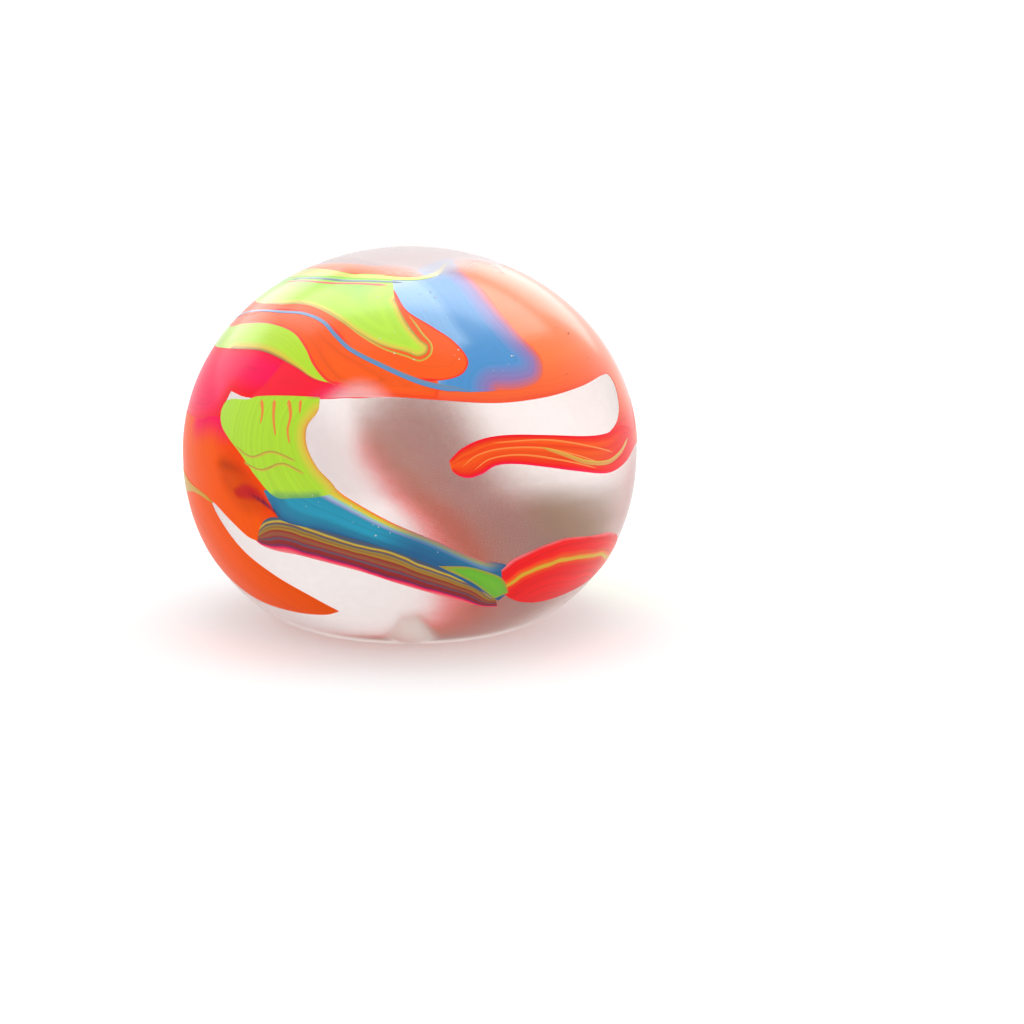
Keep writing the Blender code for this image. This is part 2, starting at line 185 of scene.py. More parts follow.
# Edges of the swirls in the photograph, in its pixels
SALMON_TOP = [(310, 264.5), (330, 264), (369, 266), (396, 267), (412, 269.5), (425, 277)]
SALMON_UNDER = [(404, 277.5), (377, 275), (348, 273.5), (300, 272.5)]
STRIPE_TOP = [(298, 273), (348, 274), (383, 276), (405, 278), (422, 277), (436, 272), (449, 261)]
STRIPE_UNDER = [(439, 275), (423, 280), (405, 281), (383, 280), (348, 278.5), (296, 278)]
GREY_LINE = [(292, 280.5), (341, 281), (377, 282), (402, 283)]
CROWN_LINE = [(286, 283), (328, 283.5), (365, 284.5), (388, 286)]
TONGUE_TOP = [(287, 276), (335, 275.5), (388, 277)]
TONGUE_EDGE = [
    (395, 300), (405, 320), (420, 340), (428, 346), (426, 354), (417, 357), (407, 353), (382, 346),
    (357, 333), (339, 321), (320, 310), (304, 305), (279, 305), (257, 303),
]
LOOP_RIGHT = [
    (389, 284), (395, 292), (407, 311), (432, 327), (454, 342), (468, 361), (461, 375), (436, 381),
]
LOOP_UNDER = [
    (407, 377), (386, 367), (357, 353), (339, 336), (320, 319), (301, 312), (276, 310), (245, 316),
]
LOOP_INSIDE = [
    (262, 296), (279, 298), (304, 298), (324, 303), (344, 314), (362, 326), (385, 338), (410, 348),
    (412, 343), (397, 322), (386, 302), (378, 282),
]
VEIN = [
    (236, 319), (279, 312), (304, 314), (323, 322), (336, 336), (351, 350), (382, 366), (414, 380),
    (439, 387), (470, 391),
]
VEIN_WIDTHS = [2.5, 2.5, 3, 3.5, 4, 5, 6]
FLOW_TOP = [(384, 281), (405, 275), (422, 268), (436, 262), (451, 259)]
FLOW_RIGHT = [
    (461, 271), (482, 289), (501, 314), (520, 336), (539, 355), (543, 367), (539, 382), (523, 389),
    (498, 391), (464, 392), (439, 388),
]
FLOW_INSIDE = [(436, 374), (455, 369), (460, 361), (448, 346), (428, 332), (402, 315), (388, 295)]
SWEEP_INSIDE = [
    (362, 388), (400, 382), (440, 380), (464, 384), (498, 383), (520, 381), (530, 375), (534, 367),
    (528, 358), (510, 341), (491, 318), (473, 296), (455, 279), (446, 268),
]
LEVEL_EDGE = [
    (320, 399), (389, 397), (436, 400), (482, 403), (514, 402), (551, 396), (582, 386), (607, 374),
]
STRIP_EDGE = [(614, 383), (619, 405), (617, 421), (608, 434)]
BAND_TOP = [(276, 308), (304, 310), (323, 318), (338, 333), (353, 347), (384, 363), (414, 376), (441, 384)]
BAND_UNDER = [
    (437, 399), (389, 396.5), (350, 398), (333, 391), (318, 376), (308, 362), (300, 350), (288, 338),
    (271, 331), (245, 331), (231, 334),
]
LEAF_OVER = [
    (231, 327), (245, 324), (273, 324), (295, 333), (307, 349), (314, 364), (326, 379), (338, 385),
]
LEAF_UNDER = [(314, 379), (295, 367), (264, 352), (232, 349)]
CHEEK_OVER = [(348, 386), (328, 380), (300, 361), (268, 345), (236, 342)]
CHEEK_UNDER = [
    (204, 426), (220, 418), (223, 408), (228, 397), (231, 391), (248, 397.5), (320, 399), (350, 398),
]
GREEN_TOP = [(222, 411), (228, 400.5), (249, 399.5), (258, 396.5), (320, 397.5)]
GREEN_RIGHT = [(318, 411), (307, 427), (307, 446), (317, 467), (332, 483), (338, 492)]
GREEN_UNDER = [(318, 497), (296, 498), (276, 497)]
GREEN_LEFT = [(257, 477), (242, 455), (228, 436), (222, 424)]
FLANK_TOP = [(200, 419), (214, 416), (226, 421)]
FLANK_RIGHT = [(234, 437), (249, 456), (264, 477), (275, 492), (277, 506), (283, 518)]
FLANK_UNDER = [(272, 517), (264, 521), (259, 532), (258, 541), (248, 536), (232, 521), (214, 502)]
RIBBON_TOP = [
    (264, 490), (300, 490), (330, 486), (345, 496), (389, 521), (436, 541), (482, 560), (507, 565),
]
RIBBON_UNDER = [
    (512, 574), (509, 590), (498, 600), (480, 590), (439, 568), (389, 549), (326, 531), (282, 520),
    (272, 506),
]
RIBBON_END = [(507, 565), (512, 574), (509, 590), (498, 600), (480, 590), (439, 568), (414, 558)]
RED_TOP = [(254, 534), (262, 518), (284, 514), (326, 527), (389, 545), (439, 564), (478, 580), (494, 595)]
RED_UNDER = [
    (497, 606), (482, 606), (462, 601), (436, 594), (401, 584), (357, 570), (304, 556), (272, 549),
    (258, 542),
]
WEDGE = [(438, 565.5), (468, 566.5), (492, 573), (503, 579), (508, 592), (494, 598), (472, 582)]
CRESCENT_INSIDE = [(193, 474), (211, 502), (217, 514), (242, 549), (273, 574), (307, 594), (333, 608)]
FRINGE_TOP = [(501, 570), (512, 560), (529, 552), (548, 544), (567, 538), (590, 536)]
TONGUE_OVER = [
    (634, 428), (620, 425), (607, 433), (586, 436), (545, 435), (507, 435), (482, 439), (461, 449),
    (449, 461),
]
TONGUE_UNDER = [
    (453, 472), (467, 478), (482, 474), (495, 466), (514, 464), (545, 467), (576, 471), (607, 473),
    (623, 464), (634, 446),
]
TONGUE_TURN = [(624, 429), (628, 446), (622, 462)]
RED_TURN = [
    (286, 360), (300, 367), (322, 381), (350, 389), (346, 398), (320, 399), (250, 398), (264, 386),
    (275, 373),
]
# The edges of a painted highlight: a pale pink patch at the level edge.
PAINTED_HIGHLIGHT_TOP = [(316, 399), (328, 387), (343, 378), (361, 374), (380, 379), (393, 389), (402, 399)]
PAINTED_HIGHLIGHT_UNDER = [(382, 398), (362, 397.5), (338, 398)]
BLUSH_TOP = [(300, 399), (316, 386), (336, 378), (356, 384), (370, 398)]
BLUSH_UNDER = [(350, 398), (330, 398.5)]
LEAF_LINE = [(245, 324), (273, 324), (295, 333), (307, 349), (314, 364), (326, 379), (339, 386)]
TONGUE_HALO = [
    (296, 301.5), (322, 309), (341, 320), (360, 335), (384, 349), (408, 357), (420, 361), (430, 355),
    (431, 345), (422, 334), (409, 316),
]
TONGUE_LINES = [
    [(462, 467), (476, 456), (500, 449), (540, 448), (575, 455), (600, 463)],
    [(492, 443), (545, 440), (588, 446), (612, 452)],
    [(474, 470), (490, 459), (520, 455), (560, 460), (596, 468)],
]
DRIPS = [
    [(262, 400), (263, 412), (261, 424)], [(275, 400), (274, 418), (276, 436)],
    [(289, 400), (291, 416), (288, 430), (290, 444)], [(301, 400), (300, 414)],
]
COMBED = [
    [(236, 446), (252, 457), (272, 452), (296, 461)], [(244, 462), (262, 470), (283, 464), (305, 474)],
]
BROWN_HAZE = [
    (214, 452), (226, 446), (240, 454), (256, 474), (270, 494), (276, 512), (262, 522), (246, 520),
    (228, 502), (216, 478),
]
DARK_HAZE = [(214, 460), (226, 456), (240, 462), (252, 476), (250, 482), (236, 476), (220, 470)]
CRIMSON_SPOT = [
    (232, 488), (242, 481), (254, 483), (266, 494), (276, 508), (262, 504), (246, 502), (236, 498),
]
PLUM_STREAK = [(248, 492), (264, 502), (284, 519)]
RIBBON_LINE = [(284, 516), (326, 524), (380, 541), (430, 560), (466, 575)]
VEIL_FRONT = [(304, 268), (340, 268), (396, 270), (418, 274), (436, 268), (452, 262)]
# The front edge of a painted sheen: a pale film over the crown's top that whitens it as light from above
# would.
PAINTED_SHEEN_FRONT = [(318, 266), (360, 273), (400, 280), (430, 284), (455, 282), (475, 277), (490, 270)]
DUSTY_CROWN = [(330, 290), (430, 285), (500, 325), (530, 372), (480, 385), (420, 370), (350, 330)]
DUSTY_SWEEP = [(490, 290), (540, 310), (590, 360), (560, 384), (545, 345)]
DUSTY_RIBBON = [(290, 500), (330, 494), (400, 530), (480, 566), (430, 558), (330, 525)]
OLIVE_STREAK = [(540, 447), (565, 455), (586, 462), (607, 462), (620, 452), (627, 438)]

# The swirls that go over the rim, and those on the back: (degrees round from the front, degrees up)
STREAK_BEHIND = [(-112, 56.5), (-124, 55), (-117, 58)]
VEIL_BEHIND = [
    (60, 72), (88, 67), (108, 64), (128, 66), (150, 72), (180, 75), (210, 72), (232, 64), (242, 59),
]
# Where the painted sheen over the crown's top runs on over the rim.
PAINTED_SHEEN_BEHIND = [(52, 66), (74, 62), (110, 66), (180, 76), (236, 66)]
STRIPE_BEHIND = [(-104, 54), (-122, 52.5), (-113, 54.5)]
TONGUE_BEHIND = [(-104, 44), (-120, 47), (-128, 50), (-116, 51.5)]
LOOP_BEHIND = [(-100, 39.5), (-118, 41), (-126, 44.5), (-112, 44.5)]
BAND_BEHIND = [(-96, 33.5), (-112, 35), (-122, 38.5), (-108, 39.5), (-90, 42)]
LEAF_BEHIND = [(-88, 28.5), (-106, 28), (-118, 31.5), (-104, 34)]
CHEEK_BEHIND = [(-90, 29), (-106, 26), (-116, 20), (-108, 14), (-92, 11), (-78, 9.5)]
FLANK_BEHIND = [(-74, -4), (-90, -3), (-104, 2), (-98, 8), (-84, 10.5)]
SWEEP_BEHIND = [(76, 6), (88, 5), (100, 12), (107, 26), (110, 40), (105, 54), (92, 65), (72, 73)]
TONGUE_END = [(88, 2.5), (96, 5), (99, 10), (93, 13), (86, 11)]
RIM_STREAK = [
    (-58.8, -7.5), (-61.5, -6.8), (-66, -6.3), (-71, -6.3), (-77, -6.6), (-85, -7), (-94, -7.4),
    (-104, -8),
]
CRESCENT_BEHIND = [
    (-22, -34), (-27, -36), (-44, -37), (-60, -35), (-76, -27), (-90, -17), (-96, -9), (-92, -1.5),
    (-80, -1.5),
]
FRINGE_BELOW = [(64, -16.5), (74, -20), (81, -26), (70, -31), (56, -33), (38, -33), (27, -28)]
BACK_ORANGE_WAVE = [
    (123, 24), (140, 18), (165, 22), (190, 32), (215, 34), (236, 27), (246, 23), (250, 25.5), (246, 31.5),
    (234, 40), (212, 46), (188, 44), (165, 36), (142, 32), (126, 35), (117, 31),
]
BACK_BLUE_DRIFT = [
    (123, 46.5), (140, 40), (165, 44), (188, 52), (212, 54), (236, 48), (250, 46), (257, 49.5), (251, 56),
    (236, 62), (210, 68), (180, 72), (150, 68), (128, 59), (119, 51.5),
]
BACK_MAGENTA_WAVE = [
    (256, 8), (244, 15), (228, 20), (208, 24), (196, 18), (200, 9), (216, 5), (234, 2),
    (250, -4), (257, 0),
]
BACK_GREEN_DRIFT = [
    (94, -8), (112, -4), (130, -6), (146, -14), (150, -24), (140, -31), (120, -31), (100, -26),
]
BACK_OLIVE_PATCH = [
    (188, -9), (185, -14), (181, -17.5), (178, -20.5), (174, -24.5), (169, -29), (156, -29), (151, -24),
    (152, -17), (160, -14.5), (167, -13.5), (171, -10), (174, -7), (181, -5.5),
]
BACK_RED_STRIPE = [
    (186, -10), (181, -14.5), (176, -17.5), (173, -20), (169, -24), (165, -28), (163, -33), (170, -34),
    (175, -29), (179, -23.5), (183, -19), (188, -14),
]
FAR_FADE = [
    (188, -9), (181, -5.5), (174, -7), (171, -10), (167, -13.5), (160, -14.5), (152, -17), (151, -24),
]
BACK_HAZE = [(204, -8), (195, -6), (188, -9), (184, -14), (180, -18), (186, -21), (195, -20), (204, -15)]
BACK_MOSS = [(167, -15), (161, -14.5), (157, -18), (159, -22.5), (165, -23), (168, -19)]
BACK_BLUE_RIBBON = [
    (254, -11), (240, -9.5), (228, -6), (210, -6), (202, -12), (216, -16), (234, -18), (247, -22.5),
    (257, -22.5), (262, -17),
]

# Colours as a screen shows them, 0 to 255
SCREEN_GAMMA = 2.2
ORANGE = (252, 90, 10)
BRIGHT_ORANGE = (255, 112, 34)
DEEP_ORANGE = (246, 66, 6)
RED = (248, 16, 20)
RED_PINK = (250, 8, 48)
# Salmon: partly the crown streak's own colour, partly painted sheen at its top edge.
SALMON = (255, 164, 134)
PINK = (250, 120, 125)
MAGENTA = (250, 0, 84)
LIME = (174, 222, 20)
DEEP_LIME = (96, 184, 6)
FRESH_LIME = (134, 212, 16)
LEAF = (180, 222, 34)
RIM_YELLOW = (206, 156, 34)
YELLOW = (222, 196, 52)
OLIVE = (168, 140, 40)
BLUE = (66, 140, 202)
PALE_BLUE = (120, 172, 222)
PURPLE = (140, 112, 176)
ROSE = (214, 96, 100)
GREY_BLUE = (112, 136, 160)
TEAL = (14, 146, 178)
DEEP_TEAL = (14, 90, 138)
SLATE = (72, 84, 104)
MINT = (140, 214, 190)
LAVENDER = (160, 160, 210)
DARK_RED = (150, 36, 36)
PLUM = (96, 40, 88)
BROWN = (150, 92, 60)
GREY_BROWN = (206, 122, 92)
WARM_GREY = (178, 120, 104)
FAR_LAVENDER = (196, 184, 204)
SMUDGE_BROWN = (178, 70, 26)
CRIMSON = (214, 26, 52)
FLOW_ORANGE = (255, 150, 60)
PALE_OLIVE = (190, 158, 96)
VEIL = (206, 182, 182)
# The pale pink of the painted highlight at the level edge.
PAINTED_HIGHLIGHT_PINK = (255, 206, 206)
HOT_PINK = (255, 60, 140)
WHITE_DUST = (238, 236, 230)
DARK_DUST = (120, 74, 60)
MOSS = (104, 168, 84)
MUSTARD = (224, 150, 48)
# The pale white of the painted sheen over the crown's top.
PAINTED_SHEEN_WHITE = (250, 238, 238)
# Paler blue and lime that the blue flow's top edge and the lime stripe's tip run into: painted sheen where
# light from above washes them out.
PAINTED_SHEEN_BLUE = (170, 190, 222)
PAINTED_SHEEN_LIME = (226, 224, 160)
FAR_MOSS = (150, 150, 84)
SKIN_DARK = (240, 233, 231)
SKIN_PALE = (246, 241, 240)
GEL_DARK = (250, 244, 242)
GEL_PALE = (255, 253, 252)
PLUG_DARK = (214, 210, 204)
PLUG_PALE = (240, 238, 234)
GLUE_DARK = (206, 196, 168)
GLUE_PALE = (236, 230, 214)


def linear(colour):
    """A screen colour as the shader takes it."""
    return (*[(channel / 255) ** SCREEN_GAMMA for channel in colour], 1.0)


def clear_startup():
    for name in ("Cube", "Light", "Camera"):
        if name in bpy.data.objects:
            bpy.data.objects.remove(bpy.data.objects[name], do_unlink=True)


def add(name, data):
    """A new object of the scene."""
    thing = bpy.data.objects.new(name, data)
    bpy.context.scene.collection.objects.link(thing)
    return thing


# The ball's surface


def over_skin(toward, lift):
    """Points over the skin's outside in these directions from the ball's centre, lifted along its normal."""
    across = np.hypot(toward[:, 0], toward[:, 1])
    upper = toward[:, 2] >= 0
    depth = np.where(upper, CROWN_HEIGHT, SAG_DEPTH)
    power = np.where(upper, CROWN_FULLNESS, SAG_FULLNESS)
    share_across = across / HALF_WIDTH
    share_up = np.abs(toward[:, 2]) / depth
    reach = (share_across**power + share_up**power) ** (-1 / power)
    slope_across = (reach * share_across) ** (power - 1) / HALF_WIDTH
    slope_up = np.sign(toward[:, 2]) * (reach * share_up) ** (power - 1) / depth
    sideways = toward[:, :2] / np.maximum(across, TINY)[:, None] * slope_across[:, None]
    outward = np.column_stack([sideways, slope_up])
    outward /= np.linalg.norm(outward, axis=1)[:, None]
    return toward * reach[:, None] + outward * lift + np.array(BALL_CENTRE)


def round_ball(angles):
    """Directions from the ball's centre at these angles, in degrees. The front, 0 round, is -Y."""
    around, up = np.radians(np.array(angles, float)).T
    return np.column_stack([np.sin(around) * np.cos(up), -np.cos(around) * np.cos(up), np.sin(up)])


def camera_place():
    """Where the camera stands and how it is turned, so that the ball lies in the frame as photographed."""
    back = Vector((0, -math.cos(VIEW_ELEVATION), math.sin(VIEW_ELEVATION)))
    turn = (-back).to_track_quat("-Z", "Y")
    aside = math.atan((FRAME_CENTRE - RING_CENTRE_PX[0]) / FOCAL_PX)
    below = math.atan((FRAME_CENTRE - RING_CENTRE_PX[1]) / FOCAL_PX)
    turn = turn @ Quaternion((0, 1, 0), -aside) @ Quaternion((1, 0, 0), -below)
    return BALL_CENTRE + back * VIEW_DISTANCE, turn


def inside_measure(point):
    """Below 1 inside the skin's outside, over 1 beyond it."""
    depth, power = (CROWN_HEIGHT, CROWN_FULLNESS) if point.z >= 0 else (SAG_DEPTH, SAG_FULLNESS)
    return (math.hypot(point.x, point.y) / HALF_WIDTH) ** power + (abs(point.z) / depth) ** power


def first_touch(start, ray):
    """Where a line of sight first meets the ball or, where it misses, the point of the rim that it passes."""
    near, far = VIEW_DISTANCE - 2 * HALF_WIDTH, VIEW_DISTANCE + 2 * HALF_WIDTH
    low, high = near, far
    for _ in range(DEEPEST_STEPS):
        third = (high - low) / 3
        if inside_measure(start + ray * (low + third)) < inside_measure(start + ray * (high - third)):
            high -= third
        else:
            low += third
    deepest = (low + high) / 2
    if inside_measure(start + ray * deepest) < 1:
        outside, within = near, deepest
        for _ in range(TOUCH_STEPS):
            middle = (outside + within) / 2
            if inside_measure(start + ray * middle) > 1:
                outside = middle
            else:
                within = middle
        deepest = within
    return (start + ray * deepest).normalized()


def seen(pixels):
    """Directions from the ball's centre to where these pixels of the photograph fall on it."""
    place, turn = camera_place()
    start = place - BALL_CENTRE
    found = []
    for across, down in pixels:
        ray = turn @ Vector((across - FRAME_CENTRE, FRAME_CENTRE - down, -FOCAL_PX)).normalized()
        found.append(first_touch(start, ray))
    return np.array(found)


# Lines and films on the surface


def flowing(points, closed):
    """A smooth line through these directions, which keeps its sharp corners."""
    count = len(points)
    spans = count if closed else count - 1
    smooth = []
    for i in range(spans):
        here, there = points[i], points[(i + 1) % count]
        chord = np.linalg.norm(there - here)
        leave = arrive = there - here
        if closed or i > 0:
            leave = span_slope(points[i - 1], here, there, leave, chord)
        if closed or i < spans - 1:
            arrive = span_slope(here, there, points[(i + 2) % count], arrive, chord)
        steps = max(1, round(chord * MEAN_RADIUS / FILM_EDGE))
        share = (np.arange(steps) / steps)[:, None]
        smooth.append(
            here * (2 * share**3 - 3 * share**2 + 1)
            + leave * (share**3 - 2 * share**2 + share)
            + there * (3 * share**2 - 2 * share**3)
            + arrive * (share**3 - share**2)
        )
    if not closed:
        smooth.append(points[-1:])
    line = np.concatenate(smooth)
    return line / np.linalg.norm(line, axis=1)[:, None]


def span_slope(before, here, after, straight, chord):
    """The line's slope at a point, or the straight span's own at a sharp corner."""
    into, out = here - before, after - here
    into_length, out_length = np.linalg.norm(into), np.linalg.norm(out)
    if np.dot(into, out) < math.cos(CORNER_ANGLE) * into_length * out_length:
        return straight
    return (after - before) / (into_length + out_length) * chord


def even_directions(grid):
    """Directions spread evenly round the ball, on a golden spiral."""
    count = int(4 * math.pi * MEAN_RADIUS**2 / grid**2)
    index = np.arange(count)
    height = 1 - (2 * index + 1) / count
    around = index * math.pi * (3 - math.sqrt(5))
    across = np.sqrt(1 - height**2)
    return np.column_stack([across * np.cos(around), across * np.sin(around), height])


EVEN_DIRECTIONS = {grid: even_directions(grid) for grid in (FILM_GRID, FINE_GRID)}


class FlatMap:
    """A flat map of the ball round one direction, on which outlines keep their order."""

    def __init__(self, middle):
        self.middle = middle / np.linalg.norm(middle)
        aside = np.cross(self.middle, MAP_TILT)
        self.right = aside / np.linalg.norm(aside)
        self.up = np.cross(self.middle, self.right)

    def flat(self, toward):
        depth = 1 + toward @ self.middle
        return np.column_stack([toward @ self.right / depth, toward @ self.up / depth])

    def round(self, flat):
        square = (flat**2).sum(1)[:, None]
        toward = 2 * flat[:, :1] * self.right + 2 * flat[:, 1:] * self.up + (1 - square) * self.middle
        return toward / (1 + square)


def enclosed(flat, outline):
    """Which of these flat points lie inside a flat outline."""
    inside = np.zeros(len(flat), bool)
    for start, end in zip(outline, np.roll(outline, -1, 0)):
        spans = (start[1] > flat[:, 1]) != (end[1] > flat[:, 1])
        rise = end[1] - start[1] or TINY
        crossing = start[0] + (flat[:, 1] - start[1]) / rise * (end[0] - start[0])
        inside ^= spans & (flat[:, 0] < crossing)
    return inside


def distance_to(line, toward):
    """How far each direction lies from a line on the ball, in metres."""
    nearest = np.full(len(toward), np.inf)
    for point in line:
        nearest = np.minimum(nearest, ((toward - point) ** 2).sum(1))
    return np.sqrt(nearest) * MEAN_RADIUS


def film_triangles(outline):
    """Directions and triangles that fill a closed outline on the ball."""
    chart = FlatMap(outline.mean(0))
    edge = chart.flat(outline)
    ahead = np.roll(edge, -1, 0)
    if (edge[:, 0] * ahead[:, 1] - ahead[:, 0] * edge[:, 1]).sum() < 0:
        edge = edge[::-1]
    reach = (outline @ chart.middle).min()
    small = math.acos(reach) * MEAN_RADIUS < FINE_REACH
    grid = FINE_GRID if small else FILM_GRID
    near = EVEN_DIRECTIONS[grid]
    near = near[near @ chart.middle > reach - REACH_MARGIN]
    near = near[enclosed(chart.flat(near), edge)]
    near = near[distance_to(outline, near) > EDGE_CLEARANCE * grid]
    points = [Vector(point) for point in np.concatenate([edge, chart.flat(near)])]
    made = delaunay_2d_cdt(points, [], [list(range(len(edge)))], 1, MERGE_REACH, False)
    flat = np.array([tuple(point) for point in made[0]])
    triangles = np.array(made[2])
    triangles = triangles[enclosed(flat[triangles].mean(1), edge)]
    return chart.round(flat), triangles


def border_edges(triangles):
    """The directed edges that only one triangle uses."""
    edges = {}
    for a, b, c in triangles:
        for start, end in ((a, b), (b, c), (c, a)):
            edges[(start, end)] = True
    return [edge for edge in edges if edge[::-1] not in edges]


def sharpen(mesh, rim, count):
    """Marks a film's rim as sharp, on its outer and inner side."""
    sharp = {frozenset(edge) for edge in rim}
    sharp |= {frozenset((start + count, end + count)) for start, end in rim}
    marks = mesh.attributes.new("sharp_edge", "BOOLEAN", "EDGE")
    marks.data.foreach_set("value", [frozenset(edge.vertices) in sharp for edge in mesh.edges])


def film(name, coat, outline, start_line, end_line=None, fade_line=None):
    """A closed film of paint over the skin.

    Its flow value runs from one line to another, or in from one line. Its fade value runs in from another
    line or from the whole outline.
    """
    toward, triangles = film_triangles(outline)
    count = len(toward)
    outer = over_skin(toward, FILM_OUTER + COAT_STEP * coat)
    inner = over_skin(toward, FILM_INNER + COAT_STEP_INSIDE * coat)
    rim = border_edges(triangles.tolist())
    faces = triangles.tolist()
    faces += [[c + count, b + count, a + count] for a, b, c in triangles.tolist()]
    faces += [[b, a, a + count, b + count] for a, b in rim]
    mesh = bpy.data.meshes.new(name)
    mesh.from_pydata(np.concatenate([outer, inner]).tolist(), [], faces)
    mesh.shade_smooth()
    sharpen(mesh, rim, count)
    from_start = distance_to(start_line, toward)
    if end_line is None:
        flow = from_start / FLOW_REACH
    else:
        flow = from_start / np.maximum(from_start + distance_to(end_line, toward), TINY)
    keep_values(mesh, "flow", flow)
    fade_line = outline if fade_line is None else fade_line
    keep_values(mesh, "fade", np.clip(distance_to(fade_line, toward) / FLOW_REACH, 0, 1))
    keep_values(mesh, "inside", np.zeros(count), np.ones(count))
    return add(name, mesh)


def keep_values(mesh, name, values, inner_values=None):
    """One value for each point of the film's outer side, and the same or others on its inner side."""
    inner_values = values if inner_values is None else inner_values
    kept = mesh.attributes.new(name, "FLOAT", "POINT")
    kept.data.foreach_set("value", np.concatenate([values, inner_values]).astype(np.float32))


def stroke(name, coat, line, widths):
    """A thin line of paint along a smooth path, as wide as these widths say along it."""
    path = flowing(line, closed=False)
    aside = np.cross(path, np.gradient(path, axis=0))
    aside /= np.linalg.norm(aside, axis=1)[:, None]
    share = np.linspace(0, 1, len(path))
    half = np.interp(share, np.linspace(0, 1, len(widths)), widths) / 2
    half *= np.minimum(1, np.minimum(share, 1 - share) * STROKE_TAPER + STROKE_TIP)
    left = path + aside * (half / MEAN_RADIUS)[:, None]
    right = path - aside * (half / MEAN_RADIUS)[:, None]
    outline = np.concatenate([left, right[::-1]])
    outline /= np.linalg.norm(outline, axis=1)[:, None]
    return film(name, coat, outline, left, right)


# Nodes


def put(tree, kind, **values):
    """A node of a tree with these settings, and with values or other nodes' outputs as its inputs."""
    node = tree.nodes.new(kind)
    for name, value in values.items():
        if hasattr(node, name):
            setattr(node, name, value)
        else:
            feed(tree, node.inputs[name.replace("_", " ")], value)
    return node


def feed(tree, socket, value):
    """Gives an input a plain value or another node's output."""
    if isinstance(value, bpy.types.NodeSocket):
        tree.links.new(value, socket)
    else:
        socket.default_value = value


def feed_all(tree, node, **values):
    """Gives a node's named inputs plain values or other nodes' outputs."""
    for name, value in values.items():
        feed(tree, node.inputs[name.replace("_", " ")], value)


def maths(tree, operation, *terms, kind="ShaderNodeMath"):
    """The result of one step of arithmetic on values and outputs."""
    node = put(tree, kind, operation=operation)
    for socket, term in zip(node.inputs, terms):
        feed(tree, socket, term)
    return node.outputs[0]


def noise(tree, scale, detail=2.0):
    """An uneven value that changes from place to place on the piece."""
    place = put(tree, "ShaderNodeTexCoord").outputs["Object"]
    return put(tree, "ShaderNodeTexNoise", Vector=place, Scale=scale, Detail=detail).outputs["Fac"]


def attribute(tree, name):
    """A value that the mesh keeps for each of its points."""
    return put(tree, "ShaderNodeAttribute", attribute_name=name).outputs["Fac"]


def ramp(tree, stops, value):
    """The colour that these places and colours give for a value."""
    node = put(tree, "ShaderNodeValToRGB", Fac=value)
    elements = node.color_ramp.elements
    elements.remove(elements[1])
    elements[0].position = stops[0][0]
    elements[0].color = linear(stops[0][1])
    for place, colour in stops[1:]:
        elements.new(place).color = linear(colour)
    return node.outputs["Color"]


def blend(tree, way, share, first, second):
    """Two colours mixed or multiplied."""
    node = put(tree, "ShaderNodeMix", data_type="RGBA", blend_type=way, Factor=share, A=first, B=second)
    return node.outputs["Result"]


def between(tree, value, low, high):
    """A value from 0 to 1 turned into one from low to high."""
    return put(tree, "ShaderNodeMapRange", Value=value, To_Min=low, To_Max=high).outputs["Result"]


def by_fade(tree, share, at_line, beyond):
    """A value that runs smoothly from one at the fade line to another over this share of the reach."""
    node = put(
        tree, "ShaderNodeMapRange", interpolation_type="SMOOTHSTEP", Value=attribute(tree, "fade"),
        From_Max=share, To_Min=at_line, To_Max=beyond,
    )
    return node.outputs["Result"]


# Finishes


def paint_flow_group():
    """How wet paint flows: sways the flow value, shades it in fine streaks and gives the film its grain."""
    group = bpy.data.node_groups.new("paint_flow", "ShaderNodeTree")
    for name in ("Flow", "Sway", "Sway Scale", "Streaks"):
        group.interface.new_socket(name, in_out="INPUT", socket_type="NodeSocketFloat")
    for name in ("Flow", "Shade", "Roughness", "Height"):
        group.interface.new_socket(name, in_out="OUTPUT", socket_type="NodeSocketFloat")
    given = put(group, "NodeGroupInput").outputs
    place = put(group, "ShaderNodeTexCoord").outputs["Object"]
    swaying = maths(group, "SUBTRACT", noise(group, given["Sway Scale"]), 0.5)
    moved = maths(group, "MULTIPLY_ADD", swaying, given["Sway"], given["Flow"])
    crosswise = maths(group, "MULTIPLY", moved, STREAK_FINENESS)
    combed = maths(
        group, "MULTIPLY_ADD", place, [STREAK_LENGTH_SCALE] * 3, crosswise, kind="ShaderNodeVectorMath",
    )
    streak = put(group, "ShaderNodeTexNoise", Vector=combed, Scale=1.0, Detail=3.0)
    uneven = maths(group, "SUBTRACT", streak.outputs["Fac"], 0.5)
    put(
        group, "NodeGroupOutput", Flow=moved,
        Shade=maths(group, "MULTIPLY_ADD", uneven, given["Streaks"], 1.0),
        Roughness=between(group, noise(group, PAINT_MOTTLE), *PAINT_ROUGHNESS),
        Height=noise(group, PAINT_GRAIN, detail=3.0),
    )
    return group


PAINT_FLOW = paint_flow_group()


def new_finish(name):
    """An empty finish and its shader."""
    finish = bpy.data.materials.new(name)
    finish.use_nodes = True
    return finish, finish.node_tree, finish.node_tree.nodes["Principled BSDF"]


